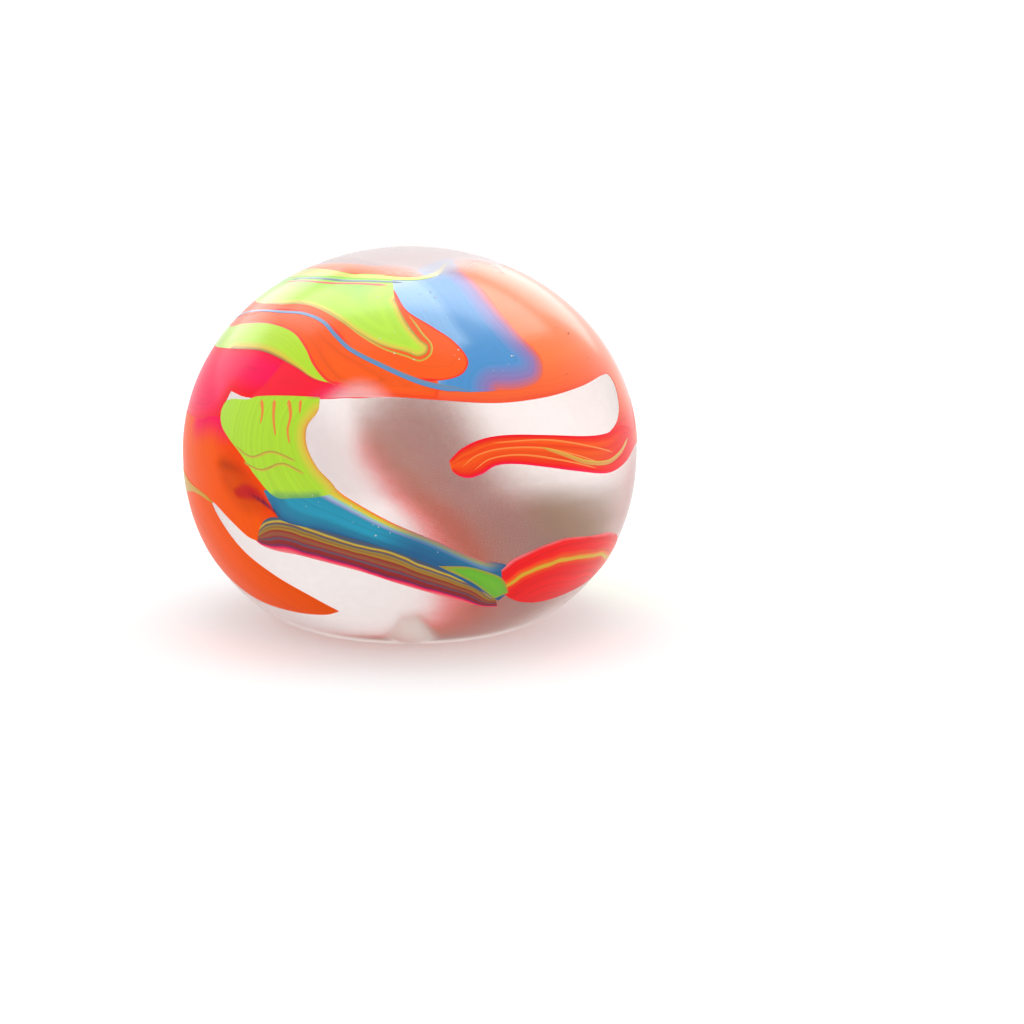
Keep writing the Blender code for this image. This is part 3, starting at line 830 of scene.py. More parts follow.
def paint(
    name, stops, sway=0.08, sway_scale=130.0, fade=None, thin=None, gloss=1.0, fade_gloss=None, glow=0.05,
    inner_glow=0.3, streaks=0.3,
):
    """Glossy marbled paint whose colour follows its flow value, given as places and colours.

    fade is a colour that it runs into at its fade line, and over what share of the reach. fade_gloss is
    its gloss there. thin is how much a thin coat covers, from 0 to 1, and over what share of the reach it
    thins out to its fade line. glow and inner_glow are a painted glow, emission in the paint's own colour
    on its outer and its inner side, that stands in for the light that comes through the thin film.
    """
    finish, tree, shader = new_finish(name)
    finish.cycles.emission_sampling = "NONE"
    wet = put(
        tree, "ShaderNodeGroup", node_tree=PAINT_FLOW, Flow=attribute(tree, "flow"), Sway=sway,
        Sway_Scale=sway_scale, Streaks=streaks,
    ).outputs
    colour = ramp(tree, stops, wet["Flow"])
    if fade:
        other, share = fade
        colour = blend(tree, "MIX", by_fade(tree, share, 1.0, 0.0), colour, linear(other))
    colour = blend(tree, "MULTIPLY", 1.0, colour, wet["Shade"])
    # Painted glow: emission in the paint's own colour, one strength outside and another inside, standing in
    # for light that comes through the film.
    through = between(tree, attribute(tree, "inside"), glow, inner_glow)
    bump = put(tree, "ShaderNodeBump", Strength=GRAIN_STRENGTH, Distance=GRAIN_DEPTH, Height=wet["Height"])
    feed_all(
        tree, shader, Base_Color=colour, Roughness=wet["Roughness"], Normal=bump.outputs["Normal"],
        Specular_IOR_Level=PAINT_SPECULAR * gloss, Coat_Weight=gloss, Coat_Roughness=COAT_ROUGHNESS,
        Coat_IOR=COAT_REFRACTION, Emission_Strength=1.0,
        Emission_Color=blend(tree, "MULTIPLY", 1.0, colour, through),
    )
    if fade_gloss is not None:
        feed_all(tree, shader, Coat_Weight=by_fade(tree, fade[1], fade_gloss, gloss))
    if thin:
        cover, share = thin
        feed_all(tree, shader, Alpha=by_fade(tree, share, 0.0, cover))
    return finish


def clear_skin_finish():
    """The clear elastic skin: slightly hazy, with a fine speckle."""
    finish, tree, shader = new_finish("clear_skin")
    speckle = noise(tree, SKIN_SPECKLE, detail=4.0)
    feed_all(
        tree, shader, Base_Color=ramp(tree, [(0.3, SKIN_DARK), (0.7, SKIN_PALE)], speckle),
        Roughness=between(tree, speckle, *SKIN_HAZE), Transmission_Weight=1.0, IOR=SKIN_REFRACTION,
    )
    return finish


def wet_wall_finish():
    """The skin's inner wall, wetted by gel of the same refraction, so that it bends no light."""
    finish, tree, shader = new_finish("wet_wall")
    feed_all(tree, shader, Base_Color=WHITE, Roughness=0.0, Transmission_Weight=1.0, IOR=1.0)
    return finish


def gel_finish():
    """The clear gel, a touch denser than the skin round it."""
    finish, tree, shader = new_finish("clear_gel")
    tint = ramp(tree, [(0.35, GEL_DARK), (0.65, GEL_PALE)], noise(tree, GEL_CLOUD))
    feed_all(tree, shader, Base_Color=tint, Roughness=0.0, Transmission_Weight=1.0, IOR=GEL_REFRACTION)
    return finish


def rubber_finish(name, dark, pale, roughness):
    """Cloudy moulded rubber or set glue, with a fine mottle and a faint painted glow in its own tint that
    lightens it.
    """
    finish, tree, shader = new_finish(name)
    tint = ramp(tree, [(0.35, dark), (0.65, pale)], noise(tree, RUBBER_MOTTLE, detail=3.0))
    feed_all(
        tree, shader, Base_Color=tint, Roughness=roughness, Transmission_Weight=RUBBER_CLEARNESS,
        IOR=RUBBER_REFRACTION, Emission_Color=tint, Emission_Strength=RUBBER_PAINTED_GLOW,
    )
    return finish


# Skin, gel, plug and glue


def turned(name, profile, finishes, inner_from=None):
    """A closed body turned about the squeeze axis. From one profile point on it has the second finish."""
    around = np.linspace(0, 2 * math.pi, TURN_STEPS, endpoint=False)
    points, rows = [], []
    for radius, height in profile:
        if radius < ON_AXIS:
            rows.append([len(points)] * TURN_STEPS)
            points.append((0, 0, height))
            continue
        rows.append(list(range(len(points), len(points) + TURN_STEPS)))
        points += [(radius * math.cos(a), radius * math.sin(a), height) for a in around]
    faces, slots = [], []
    for row in range(len(rows) - 1):
        for i in range(TURN_STEPS):
            j = (i + 1) % TURN_STEPS
            corners = [rows[row][i], rows[row + 1][i], rows[row + 1][j], rows[row][j]]
            faces.append(list(dict.fromkeys(corners)))
            slots.append(int(inner_from is not None and row >= inner_from))
    mesh = bpy.data.meshes.new(name)
    mesh.from_pydata(points, [], faces)
    for finish in finishes:
        mesh.materials.append(finish)
    mesh.polygons.foreach_set("material_index", slots)
    mesh.shade_smooth()
    mesh.set_sharp_from_angle(angle=SHARP_ANGLE)
    return add(name, mesh)


def rounded(before, corner, after, steps=8):
    """A rounded corner between two points of a profile."""
    share = np.linspace(0, 1, steps)[:, None]
    before, corner, after = (np.array(point) for point in (before, corner, after))
    return (before * (1 - share) ** 2 + 2 * corner * share * (1 - share) + after * share**2).tolist()


def dome_profile(lift, floor):
    """(radius, height) from the crown down to a flat floor, whose edge is rounded."""
    angles = [(90, up) for up in np.linspace(90, DOME_LOWEST, DOME_SAMPLES)]
    curve = over_skin(round_ball(angles), lift)[:, [0, 2]]
    curve[0, 0] = 0
    side = curve[curve[:, 1] > floor + FOOT_ROUNDING * FOOT_ROUNDING_RISE]
    edge = curve[np.abs(curve[:, 1] - floor).argmin()]
    keep = np.linspace(0, len(side) - 1, DOME_RINGS).astype(int)
    foot = (edge[0] - FOOT_ROUNDING, floor)
    return side[keep].tolist() + rounded(side[-1], (edge[0], floor), foot)[1:]


def clear_skin_piece():
    """One skin from crown to foot, with its filling hole and the boss inside round it."""
    outside = dome_profile(0, 0)
    pocket_edge = (POCKET_RADIUS + POCKET_ROUNDING, 0)
    outside += rounded(pocket_edge, (POCKET_RADIUS, 0), (POCKET_RADIUS, POCKET_ROUNDING), CORNER_STEPS)
    outside += [(POCKET_RADIUS, POCKET_DEPTH), (HOLE_RADIUS, POCKET_DEPTH)]
    bevel = [(BOSS_RADIUS - BOSS_BEVEL, BOSS_TOP), (BOSS_RADIUS, BOSS_TOP - BOSS_BEVEL)]
    inside = [(BOSS_RADIUS, SKIN_WALL)] + dome_profile(-SKIN_WALL, SKIN_WALL)[::-1]
    profile = outside + [(HOLE_RADIUS, BOSS_TOP)] + bevel + inside
    finishes = [clear_skin_finish(), wet_wall_finish()]
    return turned("clear_skin", profile, finishes, inner_from=len(outside) - 1)


def gel_piece():
    """The gel, which fills the skin and closes round the boss and the plug's barb."""
    profile = dome_profile(-SKIN_WALL - GEL_GAP, SKIN_WALL + GEL_GAP)
    plug_top = PLUG_HIGH.z + GEL_GAP
    boss, boss_top = BOSS_RADIUS + GEL_GAP, BOSS_TOP + GEL_GAP
    socket = BARB_RADIUS + GEL_GAP
    profile += [(boss, SKIN_WALL + GEL_GAP), (boss, boss_top), (socket, boss_top)]
    profile += [(socket, BOSS_TOP + SOCKET_SHOULDER), (SOCKET_TIP, plug_top), (0, plug_top)]
    return turned("gel", profile, [gel_finish()])


def plug_piece():
    """The soft plug: a head in the pocket, a stem through the hole and a barb over the boss."""
    head, stem, barb = PLUG_HIGH.x, HOLE_RADIUS - PLUG_GAP, BARB_RADIUS
    head_under, head_top = PLUG_LOW.z, PLUG_LOW.z + PLUG_HEAD
    barb_base, top = BOSS_TOP + PLUG_GAP, PLUG_HIGH.z
    tip, soft = PLUG_TIP, PLUG_ROUNDING
    profile = [(0, top)]
    for before, corner, after in (
        ((tip - soft, top), (tip, top), (tip + soft, top - soft)),
        ((barb, barb_base + 2 * soft), (barb, barb_base), (barb - 2 * soft, barb_base)),
    ):
        profile += rounded(before, corner, after, CORNER_STEPS)
    profile += [(stem, barb_base), (stem, head_top)]
    for before, corner, after in (
        ((head - soft, head_top), (head, head_top), (head, head_top - soft)),
        ((head, head_under + soft), (head, head_under), (head - soft, head_under)),
    ):
        profile += rounded(before, corner, after, CORNER_STEPS)
    profile += [(0, head_under)]
    return turned("plug", profile, [rubber_finish("plug_rubber", PLUG_DARK, PLUG_PALE, PLUG_ROUGHNESS)])


def node_made(name, mesh, group, values):
    """A piece made by a Geometry Nodes group with these inputs, kept as a plain mesh."""
    piece = add(name, mesh)
    modifier = piece.modifiers.new(group.name, "NODES")
    modifier.node_group = group
    for socket in group.interface.items_tree:
        if socket.name in values:
            modifier[socket.identifier] = values[socket.name]
    scene_now = bpy.context.evaluated_depsgraph_get()
    made = bpy.data.meshes.new_from_object(piece.evaluated_get(scene_now))
    piece.modifiers.remove(modifier)
    piece.data = made
    made.name = name
    return piece


def new_shape_group(name, inputs):
    """A Geometry Nodes group with these named inputs, and the outputs of its input node."""
    group = bpy.data.node_groups.new(name, "GeometryNodeTree")
    group.interface.new_socket("Geometry", in_out="INPUT", socket_type="NodeSocketGeometry")
    for socket, kind in inputs:
        group.interface.new_socket(socket, in_out="INPUT", socket_type="NodeSocket" + kind)
    group.interface.new_socket("Finish", in_out="INPUT", socket_type="NodeSocketMaterial")
    group.interface.new_socket("Geometry", in_out="OUTPUT", socket_type="NodeSocketGeometry")
    return group, put(group, "NodeGroupInput").outputs


def end_shape(group, made, finish):
    """Makes a group's result one mesh with its finish, and hands it out."""
    whole = put(group, "GeometryNodeRealizeInstances", Geometry=made)
    coated = put(group, "GeometryNodeSetMaterial", Geometry=whole.outputs[0], Material=finish)
    put(group, "NodeGroupOutput", Geometry=coated.outputs[0])


def bead_group():
    """A bead of glue laid round a ring, a little uneven in height."""
    inputs = (("Ring Radius", "Float"), ("Bead Radius", "Float"), ("Height", "Float"), ("Waver", "Float"))
    group, given = new_shape_group("bead", inputs)
    place = put(group, "GeometryNodeInputPosition").outputs[0]
    waver = put(group, "ShaderNodeTexNoise", Vector=place, Scale=BEAD_WAVER_SCALE, Detail=1.0)
    height = maths(group, "MULTIPLY_ADD", waver.outputs["Fac"], given["Waver"], given["Height"])
    lift = put(group, "ShaderNodeCombineXYZ", Z=height)
    circle = put(
        group, "GeometryNodeCurvePrimitiveCircle", Resolution=BEAD_STEPS, Radius=given["Ring Radius"],
    )
    laid = put(group, "GeometryNodeSetPosition", Geometry=circle.outputs["Curve"], Offset=lift.outputs[0])
    profile = put(
        group, "GeometryNodeCurvePrimitiveCircle", Resolution=BEAD_SIDES, Radius=given["Bead Radius"],
    )
    swept = put(
        group, "GeometryNodeCurveToMesh", Curve=laid.outputs[0], Profile_Curve=profile.outputs["Curve"],
    )
    smooth = put(group, "GeometryNodeSetShadeSmooth", Geometry=swept.outputs[0])
    end_shape(group, smooth.outputs[0], given["Finish"])
    return group


def bead_piece():
    """The glue round the plug's head, in the bottom of the pocket."""
    inside, outside = PLUG_HIGH.x, BEAD_HIGH.x
    values = {
        "Ring Radius": (inside + outside) / 2, "Bead Radius": (outside - inside) / 2 - BEAD_MARGIN,
        "Height": (BEAD_LOW.z + BEAD_HIGH.z) / 2 - BEAD_WAVER / 2, "Waver": BEAD_WAVER,
        "Finish": rubber_finish("set_glue", GLUE_DARK, GLUE_PALE, GLUE_ROUGHNESS),
    }
    return node_made("glue_bead", bpy.data.meshes.new("glue_bead"), bead_group(), values)


def dust_group():
    """Specks of dust strewn over a surface, each a low flat grain."""
    inputs = (("Specks per Area", "Float"), ("Seed", "Int"), ("Smallest", "Float"), ("Largest", "Float"))
    group, given = new_shape_group("dust", inputs)
    strewn = put(
        group, "GeometryNodeDistributePointsOnFaces", Mesh=given["Geometry"],
        Density=given["Specks per Area"], Seed=given["Seed"],
    )
    size = put(
        group, "FunctionNodeRandomValue", data_type="FLOAT", Min=given["Smallest"], Max=given["Largest"],
        Seed=given["Seed"],
    )
    width = size.outputs["Value"]
    height = maths(group, "MULTIPLY", width, DUST_FLATNESS)
    shape = put(group, "ShaderNodeCombineXYZ", X=width, Y=width, Z=height)
    grain = put(group, "GeometryNodeMeshIcoSphere", Radius=1.0, Subdivisions=1)
    placed = put(
        group, "GeometryNodeInstanceOnPoints", Points=strewn.outputs["Points"],
        Instance=grain.outputs["Mesh"], Rotation=strewn.outputs["Rotation"], Scale=shape.outputs[0],
    )
    end_shape(group, placed.outputs[0], given["Finish"])
    return group


def dust_finish(name, colour):
    """A dull grain of dust, of one colour with a slight change from grain to grain."""
    finish, tree, shader = new_finish(name)
    darker = [channel * DUST_CHANGE for channel in colour]
    tint = ramp(tree, [(0.3, darker), (0.7, colour)], noise(tree, DUST_CHANGE_SCALE))
    feed_all(tree, shader, Base_Color=tint, Roughness=DUST_ROUGHNESS)
    return finish


def dust_piece(name, outline, group, colour, per_area, seed):
    """Dust over the paint inside an outline."""
    toward, triangles = film_triangles(outline)
    mesh = bpy.data.meshes.new(name)
    points = over_skin(toward, FILM_OUTER + DUST_COAT * COAT_STEP)
    mesh.from_pydata(points.tolist(), [], triangles.tolist())
    values = {
        "Specks per Area": per_area, "Seed": seed, "Smallest": DUST_SMALLEST, "Largest": DUST_LARGEST,
        "Finish": dust_finish(name + "_grain", colour),
    }
    return node_made(name, mesh, group, values)


# The stage


def make_camera():
    data = bpy.data.cameras.new("camera")
    data.sensor_width = SENSOR_WIDTH
    data.lens = FOCAL_PX / FRAME_SIZE * data.sensor_width
    camera = add("camera", data)
    camera.rotation_mode = "QUATERNION"
    camera.location, camera.rotation_quaternion = camera_place()
    bpy.context.scene.camera = camera


def looked_at(tree):
    """1 where a thing is seen, in a reflection or through the gel too, and 0 where it only gives light."""
    path = put(tree, "ShaderNodeLightPath").outputs
    either = maths(tree, "MAXIMUM", path["Is Camera Ray"], path["Is Glossy Ray"])
    return maths(tree, "MAXIMUM", either, path["Is Transmission Ray"])


def make_floor():
    finish, tree, shader = new_finish("pale_floor")
    feed_all(
        tree, shader, Base_Color=(FLOOR_TONE, FLOOR_TONE, FLOOR_TONE, 1), Roughness=FLOOR_ROUGHNESS,
        Specular_IOR_Level=FLOOR_SPECULAR, Emission_Color=WHITE,
        Emission_Strength=maths(tree, "MULTIPLY", looked_at(tree), FLOOR_LIFT),
    )
    mesh = bpy.data.meshes.new("floor")
    corners = [(-1, -1), (1, -1), (1, 1), (-1, 1)]
    mesh.from_pydata([(x * FLOOR_REACH, y * FLOOR_REACH, 0) for x, y in corners], [], [(0, 1, 2, 3)])
    mesh.materials.append(finish)
    floor = add("floor", mesh)


def make_world():
    """White to the eye and to reflections, and a plain level of light on everything else."""
    world = bpy.data.worlds.new("studio")
    bpy.context.scene.world = world
    world.use_nodes = True
    tree = world.node_tree
    lighting = tree.nodes["Background"]
    feed_all(tree, lighting, Color=WHITE, Strength=WORLD_LEVEL)
    white = put(tree, "ShaderNodeBackground", Color=WHITE, Strength=1.0)
    mix = put(tree, "ShaderNodeMixShader")
    for socket, value in zip(mix.inputs, (looked_at(tree), lighting.outputs[0], white.outputs[0])):
        feed(tree, socket, value)
    feed(tree, tree.nodes["World Output"].inputs["Surface"], mix.outputs[0])


def make_softbox(name, place, size, power):
    data = bpy.data.lights.new(name, "AREA")
    data.shape = "RECTANGLE"
    data.size, data.size_y = size
    data.energy = power
    lamp = add(name, data)
    lamp.location = place
    lamp.rotation_mode = "QUATERNION"
    lamp.rotation_quaternion = (BALL_CENTRE - Vector(place)).to_track_quat("-Z", "Y")
    return lamp


# Putting the ball together


def settle(piece, body, nodes=()):
    """The piece rides on its body, gets a mesh of its own and hides the CAD nodes that it stands for."""
    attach(piece, body)
    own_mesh(piece)
    if nodes:
        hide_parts(*nodes)


def closed_line(*parts):
    return flowing(np.concatenate(parts), closed=True)


def open_line(*parts):
    return flowing(np.concatenate(parts), closed=False)


def ring(pixels, *behind):
    """A closed outline through pixels of the photograph, and on over the rim by these angles."""
    return closed_line(seen(pixels), *[round_ball(angles) for angles in behind])


def along(pixels):
    """A line through pixels of the photograph."""
    return open_line(seen(pixels))


def plain(colour):
    """One colour all over, as places and colours."""
    return [(0, colour), (1, colour)]


def painted(name, body, coat, finish, outline, start=None, end=None, fade=None):
    """A swirl that stands for the CAD node of the same name. Its coat is counted from the skin outward."""
    piece = film("paint_" + name, coat, outline, outline if start is None else start, end, fade)
    piece.data.materials.append(finish)
    settle(piece, body, ["swirl_" + name])


def patch(name, body, coat, finish, outline, fade=None):
    """A patch of paint that has no CAD node."""
    piece = film("paint_" + name, coat, outline, outline, None, fade)
    piece.data.materials.append(finish)
    settle(piece, body, ())


def drawn(name, body, coat, finish, line, widths_px):
    """A thin line of paint that has no CAD node."""
    piece = stroke("paint_" + name, coat, line, [width * PX for width in widths_px])
    piece.data.materials.append(finish)
    settle(piece, body, ())


def crown_swirls():
    """The swirls of the upper half that the photograph shows."""
    # The crown streak runs from salmon at its top edge to orange below: partly its own colour, partly painted
    # sheen where light from above washes it out.
    painted(
        "crown_streak", "crown", 6, paint("salmon_paint", [(0, SALMON), (0.7, BRIGHT_ORANGE), (1, ORANGE)]),
        ring(SALMON_TOP + SALMON_UNDER, STREAK_BEHIND),
        along(SALMON_TOP), along(SALMON_UNDER),
    )
    # The lime stripe turns paler at its tip: painted sheen.
    painted(
        "lime_stripe", "crown", 7,
        paint("stripe_paint", [(0, LEAF), (0.5, YELLOW), (1, LIME)], fade=(PAINTED_SHEEN_LIME, 0.45)),
        ring(STRIPE_TOP + STRIPE_UNDER, STRIPE_BEHIND), along(STRIPE_TOP), along(STRIPE_UNDER),
        along(STRIPE_TOP[-2:]),
    )
    stops = [(0, OLIVE), (0.05, YELLOW), (0.12, LIME), (0.4, LIME), (0.75, FRESH_LIME), (1, FRESH_LIME)]
    painted(
        "green_tongue", "crown", 5, paint("tongue_green", stops, gloss=0.85),
        ring(TONGUE_TOP + TONGUE_EDGE, TONGUE_BEHIND), along(TONGUE_EDGE),
    )
    painted(
        "orange_loop", "crown", 4,
        paint("loop_orange", [(0, RED), (0.04, ORANGE), (1, ORANGE)], gloss=0.55),
        closed_line(seen(LOOP_RIGHT + LOOP_UNDER), round_ball(LOOP_BEHIND), seen(LOOP_INSIDE)),
        along(LOOP_RIGHT + LOOP_UNDER),
    )
    # The blue flow turns paler along its top edge: painted sheen.
    stops = [(0, ORANGE), (0.04, ROSE), (0.18, PURPLE), (0.45, BLUE), (0.8, BLUE), (1, PALE_BLUE)]
    painted(
        "blue_flow", "crown", 3, paint("flow_blue", stops, sway=0.1, fade=(PAINTED_SHEEN_BLUE, 0.5)),
        ring(FLOW_TOP + FLOW_RIGHT + FLOW_INSIDE), along(FLOW_RIGHT[:-2]), None, along(FLOW_TOP),
    )
    stops = [(0, DEEP_ORANGE), (0.1, ORANGE), (0.6, BRIGHT_ORANGE), (1, BRIGHT_ORANGE)]
    painted(
        "orange_sweep", "crown", 1, paint("sweep_orange", stops, fade=(RED, 0.9), fade_gloss=0.4),
        closed_line(seen(LEVEL_EDGE + STRIP_EDGE), round_ball(SWEEP_BEHIND), seen(SWEEP_INSIDE[::-1])),
        along(LEVEL_EDGE), None, open_line(seen(STRIP_EDGE[-1:]), round_ball(SWEEP_BEHIND[:3])),
    )
    stops = [(0, DEEP_ORANGE), (0.1, ORANGE), (1, ORANGE)]
    painted(
        "orange_band", "crown", 2, paint("band_orange", stops, gloss=0.55, streaks=0.7),
        ring(BAND_TOP + BAND_UNDER, BAND_BEHIND),
    )
    stops = [(0, LEAF), (0.7, LEAF), (0.88, YELLOW), (1, BROWN)]
    painted(
        "green_leaf", "crown", 5, paint("leaf_green", stops, gloss=0.75),
        ring(LEAF_OVER + LEAF_UNDER, LEAF_BEHIND), along(LEAF_OVER), along(LEAF_OVER[-1:] + LEAF_UNDER),
    )
    painted(
        "magenta_cheek", "crown", 2,
        paint("cheek_magenta", [(0, RED), (0.3, MAGENTA), (1, MAGENTA)], gloss=0.3),
        closed_line(seen(CHEEK_OVER), round_ball(CHEEK_BEHIND), seen(CHEEK_UNDER)),
    )
    stops = [(0, MUSTARD), (0.06, YELLOW), (0.2, LIME), (1, LIME)]
    painted(
        "green_cheek", "crown", 6, paint("cheek_green", stops, fade=(MOSS, 0.14)),
        ring(GREEN_TOP + GREEN_RIGHT + GREEN_UNDER + GREEN_LEFT),
        along(GREEN_RIGHT), None, along(GREEN_UNDER),
    )
    stops = [
        (0, RED_PINK), (0.06, RED), (0.16, DEEP_ORANGE), (0.24, ORANGE), (0.34, DEEP_ORANGE), (0.46, ORANGE),
        (0.75, DEEP_ORANGE), (0.92, RED), (1, MAGENTA),
    ]
    painted(
        "orange_tongue", "crown", 3,
        paint("tongue_orange", stops, fade=(RED, 0.9), gloss=0.45, streaks=0.6),
        ring(TONGUE_OVER + TONGUE_UNDER, TONGUE_END), along(TONGUE_OVER), along(TONGUE_UNDER),
        along(TONGUE_TURN),
    )
    stops = [(0, LAVENDER), (0.2, VEIL), (1, VEIL)]
    painted(
        "crown_veil", "crown", 0, paint("veil_lavender", stops, sway=0.3, streaks=0.05),
        ring(VEIL_FRONT, VEIL_BEHIND), along(VEIL_FRONT),
    )


def crown_patches():
    """Thin patches and lines of the upper half that have no CAD node. Two of them are painted light: a
    painted sheen over the crown's top and a painted pink highlight at the level edge.
    """
    # A painted sheen: a thin pale film over the crown's top that washes out the colours there as light from
    # above does.
    painted_sheen = paint("haze_pale", plain(PAINTED_SHEEN_WHITE), thin=(0.5, 0.5), streaks=0.05)
    patch("crown_haze", "crown", 8, painted_sheen, ring(PAINTED_SHEEN_FRONT, PAINTED_SHEEN_BEHIND), along(PAINTED_SHEEN_FRONT))
    patch("red_turn", "crown", 3, paint("turn_red", plain(RED_PINK), gloss=0.6), ring(RED_TURN))
    blush = paint("blush_pink", plain(HOT_PINK), thin=(0.4, 0.3))
    patch("pink_blush", "crown", 6, blush, ring(BLUSH_TOP + BLUSH_UNDER), along(BLUSH_TOP))
    # A painted highlight: a thin pale pink patch at the level edge, which fades out towards its top edge.
    painted_highlight = paint("bloom_pale", plain(PAINTED_HIGHLIGHT_PINK), thin=(0.6, 0.34))
    patch("pale_bloom", "crown", 7, painted_highlight, ring(PAINTED_HIGHLIGHT_TOP + PAINTED_HIGHLIGHT_UNDER), along(PAINTED_HIGHLIGHT_TOP))
    olive_stops = [(0, YELLOW), (0.4, MUSTARD), (1, MUSTARD)]
    for kind, coat, lines, first, last, slot, widths in (
        ("drip", 7, DRIPS, BRIGHT_ORANGE, MUSTARD, "orange_paint", [4, 2.6, 1.6]),
        ("combed", 7, COMBED, OLIVE, YELLOW, "olive_paint", [1.5, 2.5, 2]),
        ("flow_line", 4, TONGUE_LINES, FLOW_ORANGE, BRIGHT_ORANGE, "orange_paint", [1, 1.8, 1.2]),
    ):
        for index, pixels in enumerate(lines):
            finish = paint(f"{kind}_{index}", [(0, first), (1, last)])
            drawn(f"{kind}_{index}", "crown", coat, finish, seen(pixels), widths)
    for name, coat, pixels, widths, slot, finish, stops in (
        ("leaf_line", 6, LEAF_LINE, [1.5, 2, 2.5], "red", "line_red", [(0, RED), (1, DEEP_ORANGE)]),
        ("tongue_halo", 6, TONGUE_HALO, [1.2, 1.8, 2], "olive", "halo_olive", [(0, OLIVE), (1, YELLOW)]),
        ("blue_vein", 6, VEIN, VEIN_WIDTHS, "blue", "vein_blue", [(0, GREY_BLUE), (1, BLUE)]),
        ("grey_line", 6, GREY_LINE, [3, 3.5, 3], "blue", "line_grey", [(0, GREY_BLUE), (1, SLATE)]),
        ("crown_line", 6, CROWN_LINE, [3, 3, 4], "orange", "line_orange", [(0, ORANGE), (1, RED)]),
        ("olive_streak", 5, OLIVE_STREAK, [2, 4, 4, 3], "olive", "streak_olive", olive_stops),
    ):
        drawn(name, "crown", coat, paint(finish, stops), seen(pixels), widths)


def base_swirls():
    """The swirls of the lower half that the photograph shows."""
    stops = [(0, DARK_RED), (0.1, DEEP_ORANGE), (0.5, ORANGE), (1, ORANGE)]
    painted(
        "orange_flank", "base", 4,
        paint("flank_orange", stops, sway=0.3, sway_scale=160.0, fade=(MAGENTA, 0.45), gloss=0.18),
        ring(FLANK_TOP + FLANK_RIGHT + FLANK_UNDER, FLANK_BEHIND),
        along(FLANK_RIGHT), None, along(FLANK_TOP),
    )
    stops = [
        (0, BRIGHT_ORANGE), (0.08, YELLOW), (0.14, YELLOW), (0.19, MINT), (0.25, LAVENDER), (0.33, TEAL),
        (0.7, TEAL), (1, DEEP_TEAL),
    ]
    painted(
        "blue_ribbon", "base", 5,
        paint("ribbon_teal", stops, fade=(DEEP_TEAL, 0.8), gloss=0.7, streaks=0.6),
        ring(RIBBON_TOP + RIBBON_UNDER), along(RIBBON_TOP[2:]), along(RIBBON_UNDER), along(RIBBON_END),
    )
    stops = [
        (0, SLATE), (0.17, SLATE), (0.22, YELLOW), (0.25, BROWN), (0.29, SLATE), (0.33, OLIVE),
        (0.37, BROWN), (0.41, OLIVE), (0.46, DARK_RED), (0.56, BROWN), (0.62, DARK_RED), (0.67, SLATE),
        (0.72, DARK_RED), (0.8, DARK_RED), (0.86, PLUM), (0.92, MAGENTA), (1, PINK),
    ]
    painted(
        "red_ribbon", "base", 3,
        paint("ribbon_red", stops, sway=0.24, sway_scale=110.0, gloss=0.5, streaks=0.7),
        ring(RED_TOP + RED_UNDER), along(RED_TOP), along(RED_UNDER),
    )
    painted(
        "orange_crescent", "base", 3, paint("crescent_orange", plain(ORANGE), gloss=0.16),
        ring(CRESCENT_INSIDE, CRESCENT_BEHIND), along(CRESCENT_INSIDE),
    )
    stops = [
        (0, PINK), (0.06, RED), (0.22, RED), (0.3, ORANGE), (0.36, YELLOW), (0.41, DEEP_ORANGE), (0.5, RED),
        (1, RED),
    ]
    painted(
        "red_fringe", "base", 6, paint("fringe_red", stops, sway=0.14, gloss=0.4, streaks=0.7),
        ring(FRINGE_TOP, FRINGE_BELOW), open_line(seen(FRINGE_TOP), round_ball(FRINGE_BELOW[:2])),
    )


def base_patches():
    """Thin patches and lines of the lower half that have no CAD node."""
    for name, coat, pixels, colour, thin in (
        ("brown_haze", 5, BROWN_HAZE, SMUDGE_BROWN, (0.24, 0.3)),
        ("dark_haze", 6, DARK_HAZE, DARK_RED, (0.26, 0.2)),
        ("crimson_spot", 6, CRIMSON_SPOT, CRIMSON, (0.55, 0.12)),
    ):
        patch(name, "base", coat, paint(name, plain(colour), thin=thin, gloss=0.2), ring(pixels))
    for name, line, colour, widths, thin in (
        ("plum_streak", seen(PLUM_STREAK), PLUM, [3, 6, 2], (0.7, 0.05)),
        ("ribbon_line", seen(RIBBON_LINE), PLUM, [2, 3, 2], (0.7, 0.05)),
        ("rim_streak", round_ball(RIM_STREAK), RIM_YELLOW, [3, 4, 6, 14, 21, 21, 12, 3], None),
    ):
        finish = paint(name, plain(colour), thin=thin, gloss=0.3)
        drawn(name, "base", 7, finish, line, widths)
    wedge = paint("wedge_green", [(0, OLIVE), (0.06, DEEP_LIME), (1, LIME)])
    patch("green_wedge", "base", 6, wedge, ring(WEDGE))


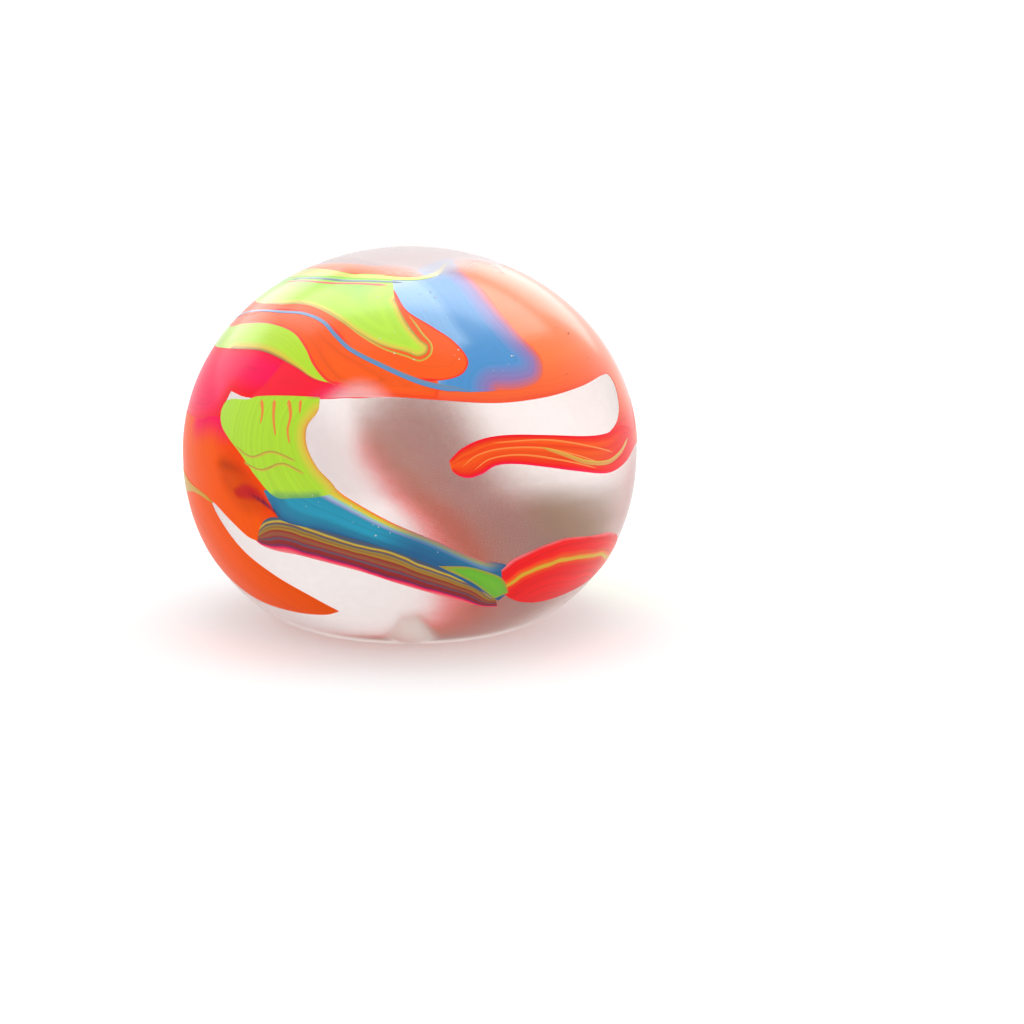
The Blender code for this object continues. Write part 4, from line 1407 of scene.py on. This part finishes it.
def back_swirls():
    """The swirls on the back. The last four follow what shows of them through the front window."""
    for name, body, angles, slot, stops in (
        ("orange_wave", "crown", BACK_ORANGE_WAVE, "orange", [(0, YELLOW), (0.06, ORANGE), (1, ORANGE)]),
        ("blue_drift", "crown", BACK_BLUE_DRIFT, "blue", [(0, PURPLE), (0.15, BLUE), (1, PALE_BLUE)]),
        ("magenta_wave", "crown", BACK_MAGENTA_WAVE, "magenta", [(0, RED), (0.2, MAGENTA), (1, MAGENTA)]),
        ("green_drift", "base", BACK_GREEN_DRIFT, "lime", [(0, YELLOW), (0.1, LIME), (1, LIME)]),
        ("blue_ribbon", "base", BACK_BLUE_RIBBON, "teal", [(0, MINT), (0.1, TEAL), (1, DEEP_TEAL)]),
    ):
        finish = paint(f"back_{name}_paint", stops)
        painted("back_" + name, body, 3, finish, closed_line(round_ball(angles)))
    # The far patches have glows of their own: painted glow in their own colours that sets how light they look
    # through the front window.
    stops = [(0, PALE_OLIVE), (0.2, GREY_BROWN), (0.5, WARM_GREY), (1, GREY_BROWN)]
    far_olive = paint(
        "far_olive", stops, sway=0.5, sway_scale=70.0, thin=(0.62, 0.34), glow=0.15, inner_glow=0.12,
    )
    painted(
        "back_olive_patch", "base", 3, far_olive, closed_line(round_ball(BACK_OLIVE_PATCH)),
        None, None, open_line(round_ball(FAR_FADE)),
    )
    far_haze = paint("far_haze", plain(FAR_LAVENDER), thin=(0.2, 0.3), inner_glow=0.1)
    patch("back_haze", "base", 2, far_haze, closed_line(round_ball(BACK_HAZE)))
    far_moss = paint("far_moss", plain(FAR_MOSS), thin=(0.5, 0.3), inner_glow=0.55)
    patch("back_moss", "base", 2, far_moss, closed_line(round_ball(BACK_MOSS)))
    far_red = paint("far_red", [(0, PINK), (0.1, RED), (1, RED)], thin=(0.6, 0.12), glow=0.2, inner_glow=0.55)
    painted("back_red_stripe", "base", 4, far_red, closed_line(round_ball(BACK_RED_STRIPE)))


def core():
    skin = clear_skin_piece()
    settle(skin, "base", ["upper_skin", "lower_skin"])
    gel = gel_piece()
    settle(gel, "base", ["gel_filling"])
    settle(plug_piece(), "base", ["fill_plug"])
    settle(bead_piece(), "base", ["glue_bead"])


def dust():
    """Pale dust on the blue, green and teal, and darker grains on the orange."""
    group = dust_group()
    for name, body, pixels, colour, per_area, seed in (
        ("pale_dust_crown", "crown", DUSTY_CROWN, WHITE_DUST, 60e3, 3),
        ("dark_dust_crown", "crown", DUSTY_SWEEP, DARK_DUST, 50e3, 7),
        ("pale_dust_base", "base", DUSTY_RIBBON, WHITE_DUST, 90e3, 11),
    ):
        piece = dust_piece(name, closed_line(seen(pixels)), group, colour, per_area, seed)
        settle(piece, body)


def main():
    scene = bpy.context.scene
    scene.view_settings.view_transform = "Standard"
    scene.cycles.max_bounces = LIGHT_BOUNCES
    scene.cycles.transmission_bounces = LIGHT_BOUNCES
    clear_startup()
    make_camera()
    make_floor()
    make_world()
    make_softbox(*OVERHEAD_SOFTBOX)
    for softbox in SHEEN_SOFTBOXES:
        sheen = make_softbox(*softbox)
        sheen.visible_diffuse = False
        sheen.visible_transmission = False
    core()
    crown_swirls()
    crown_patches()
    base_swirls()
    base_patches()
    back_swirls()
    dust()


main()
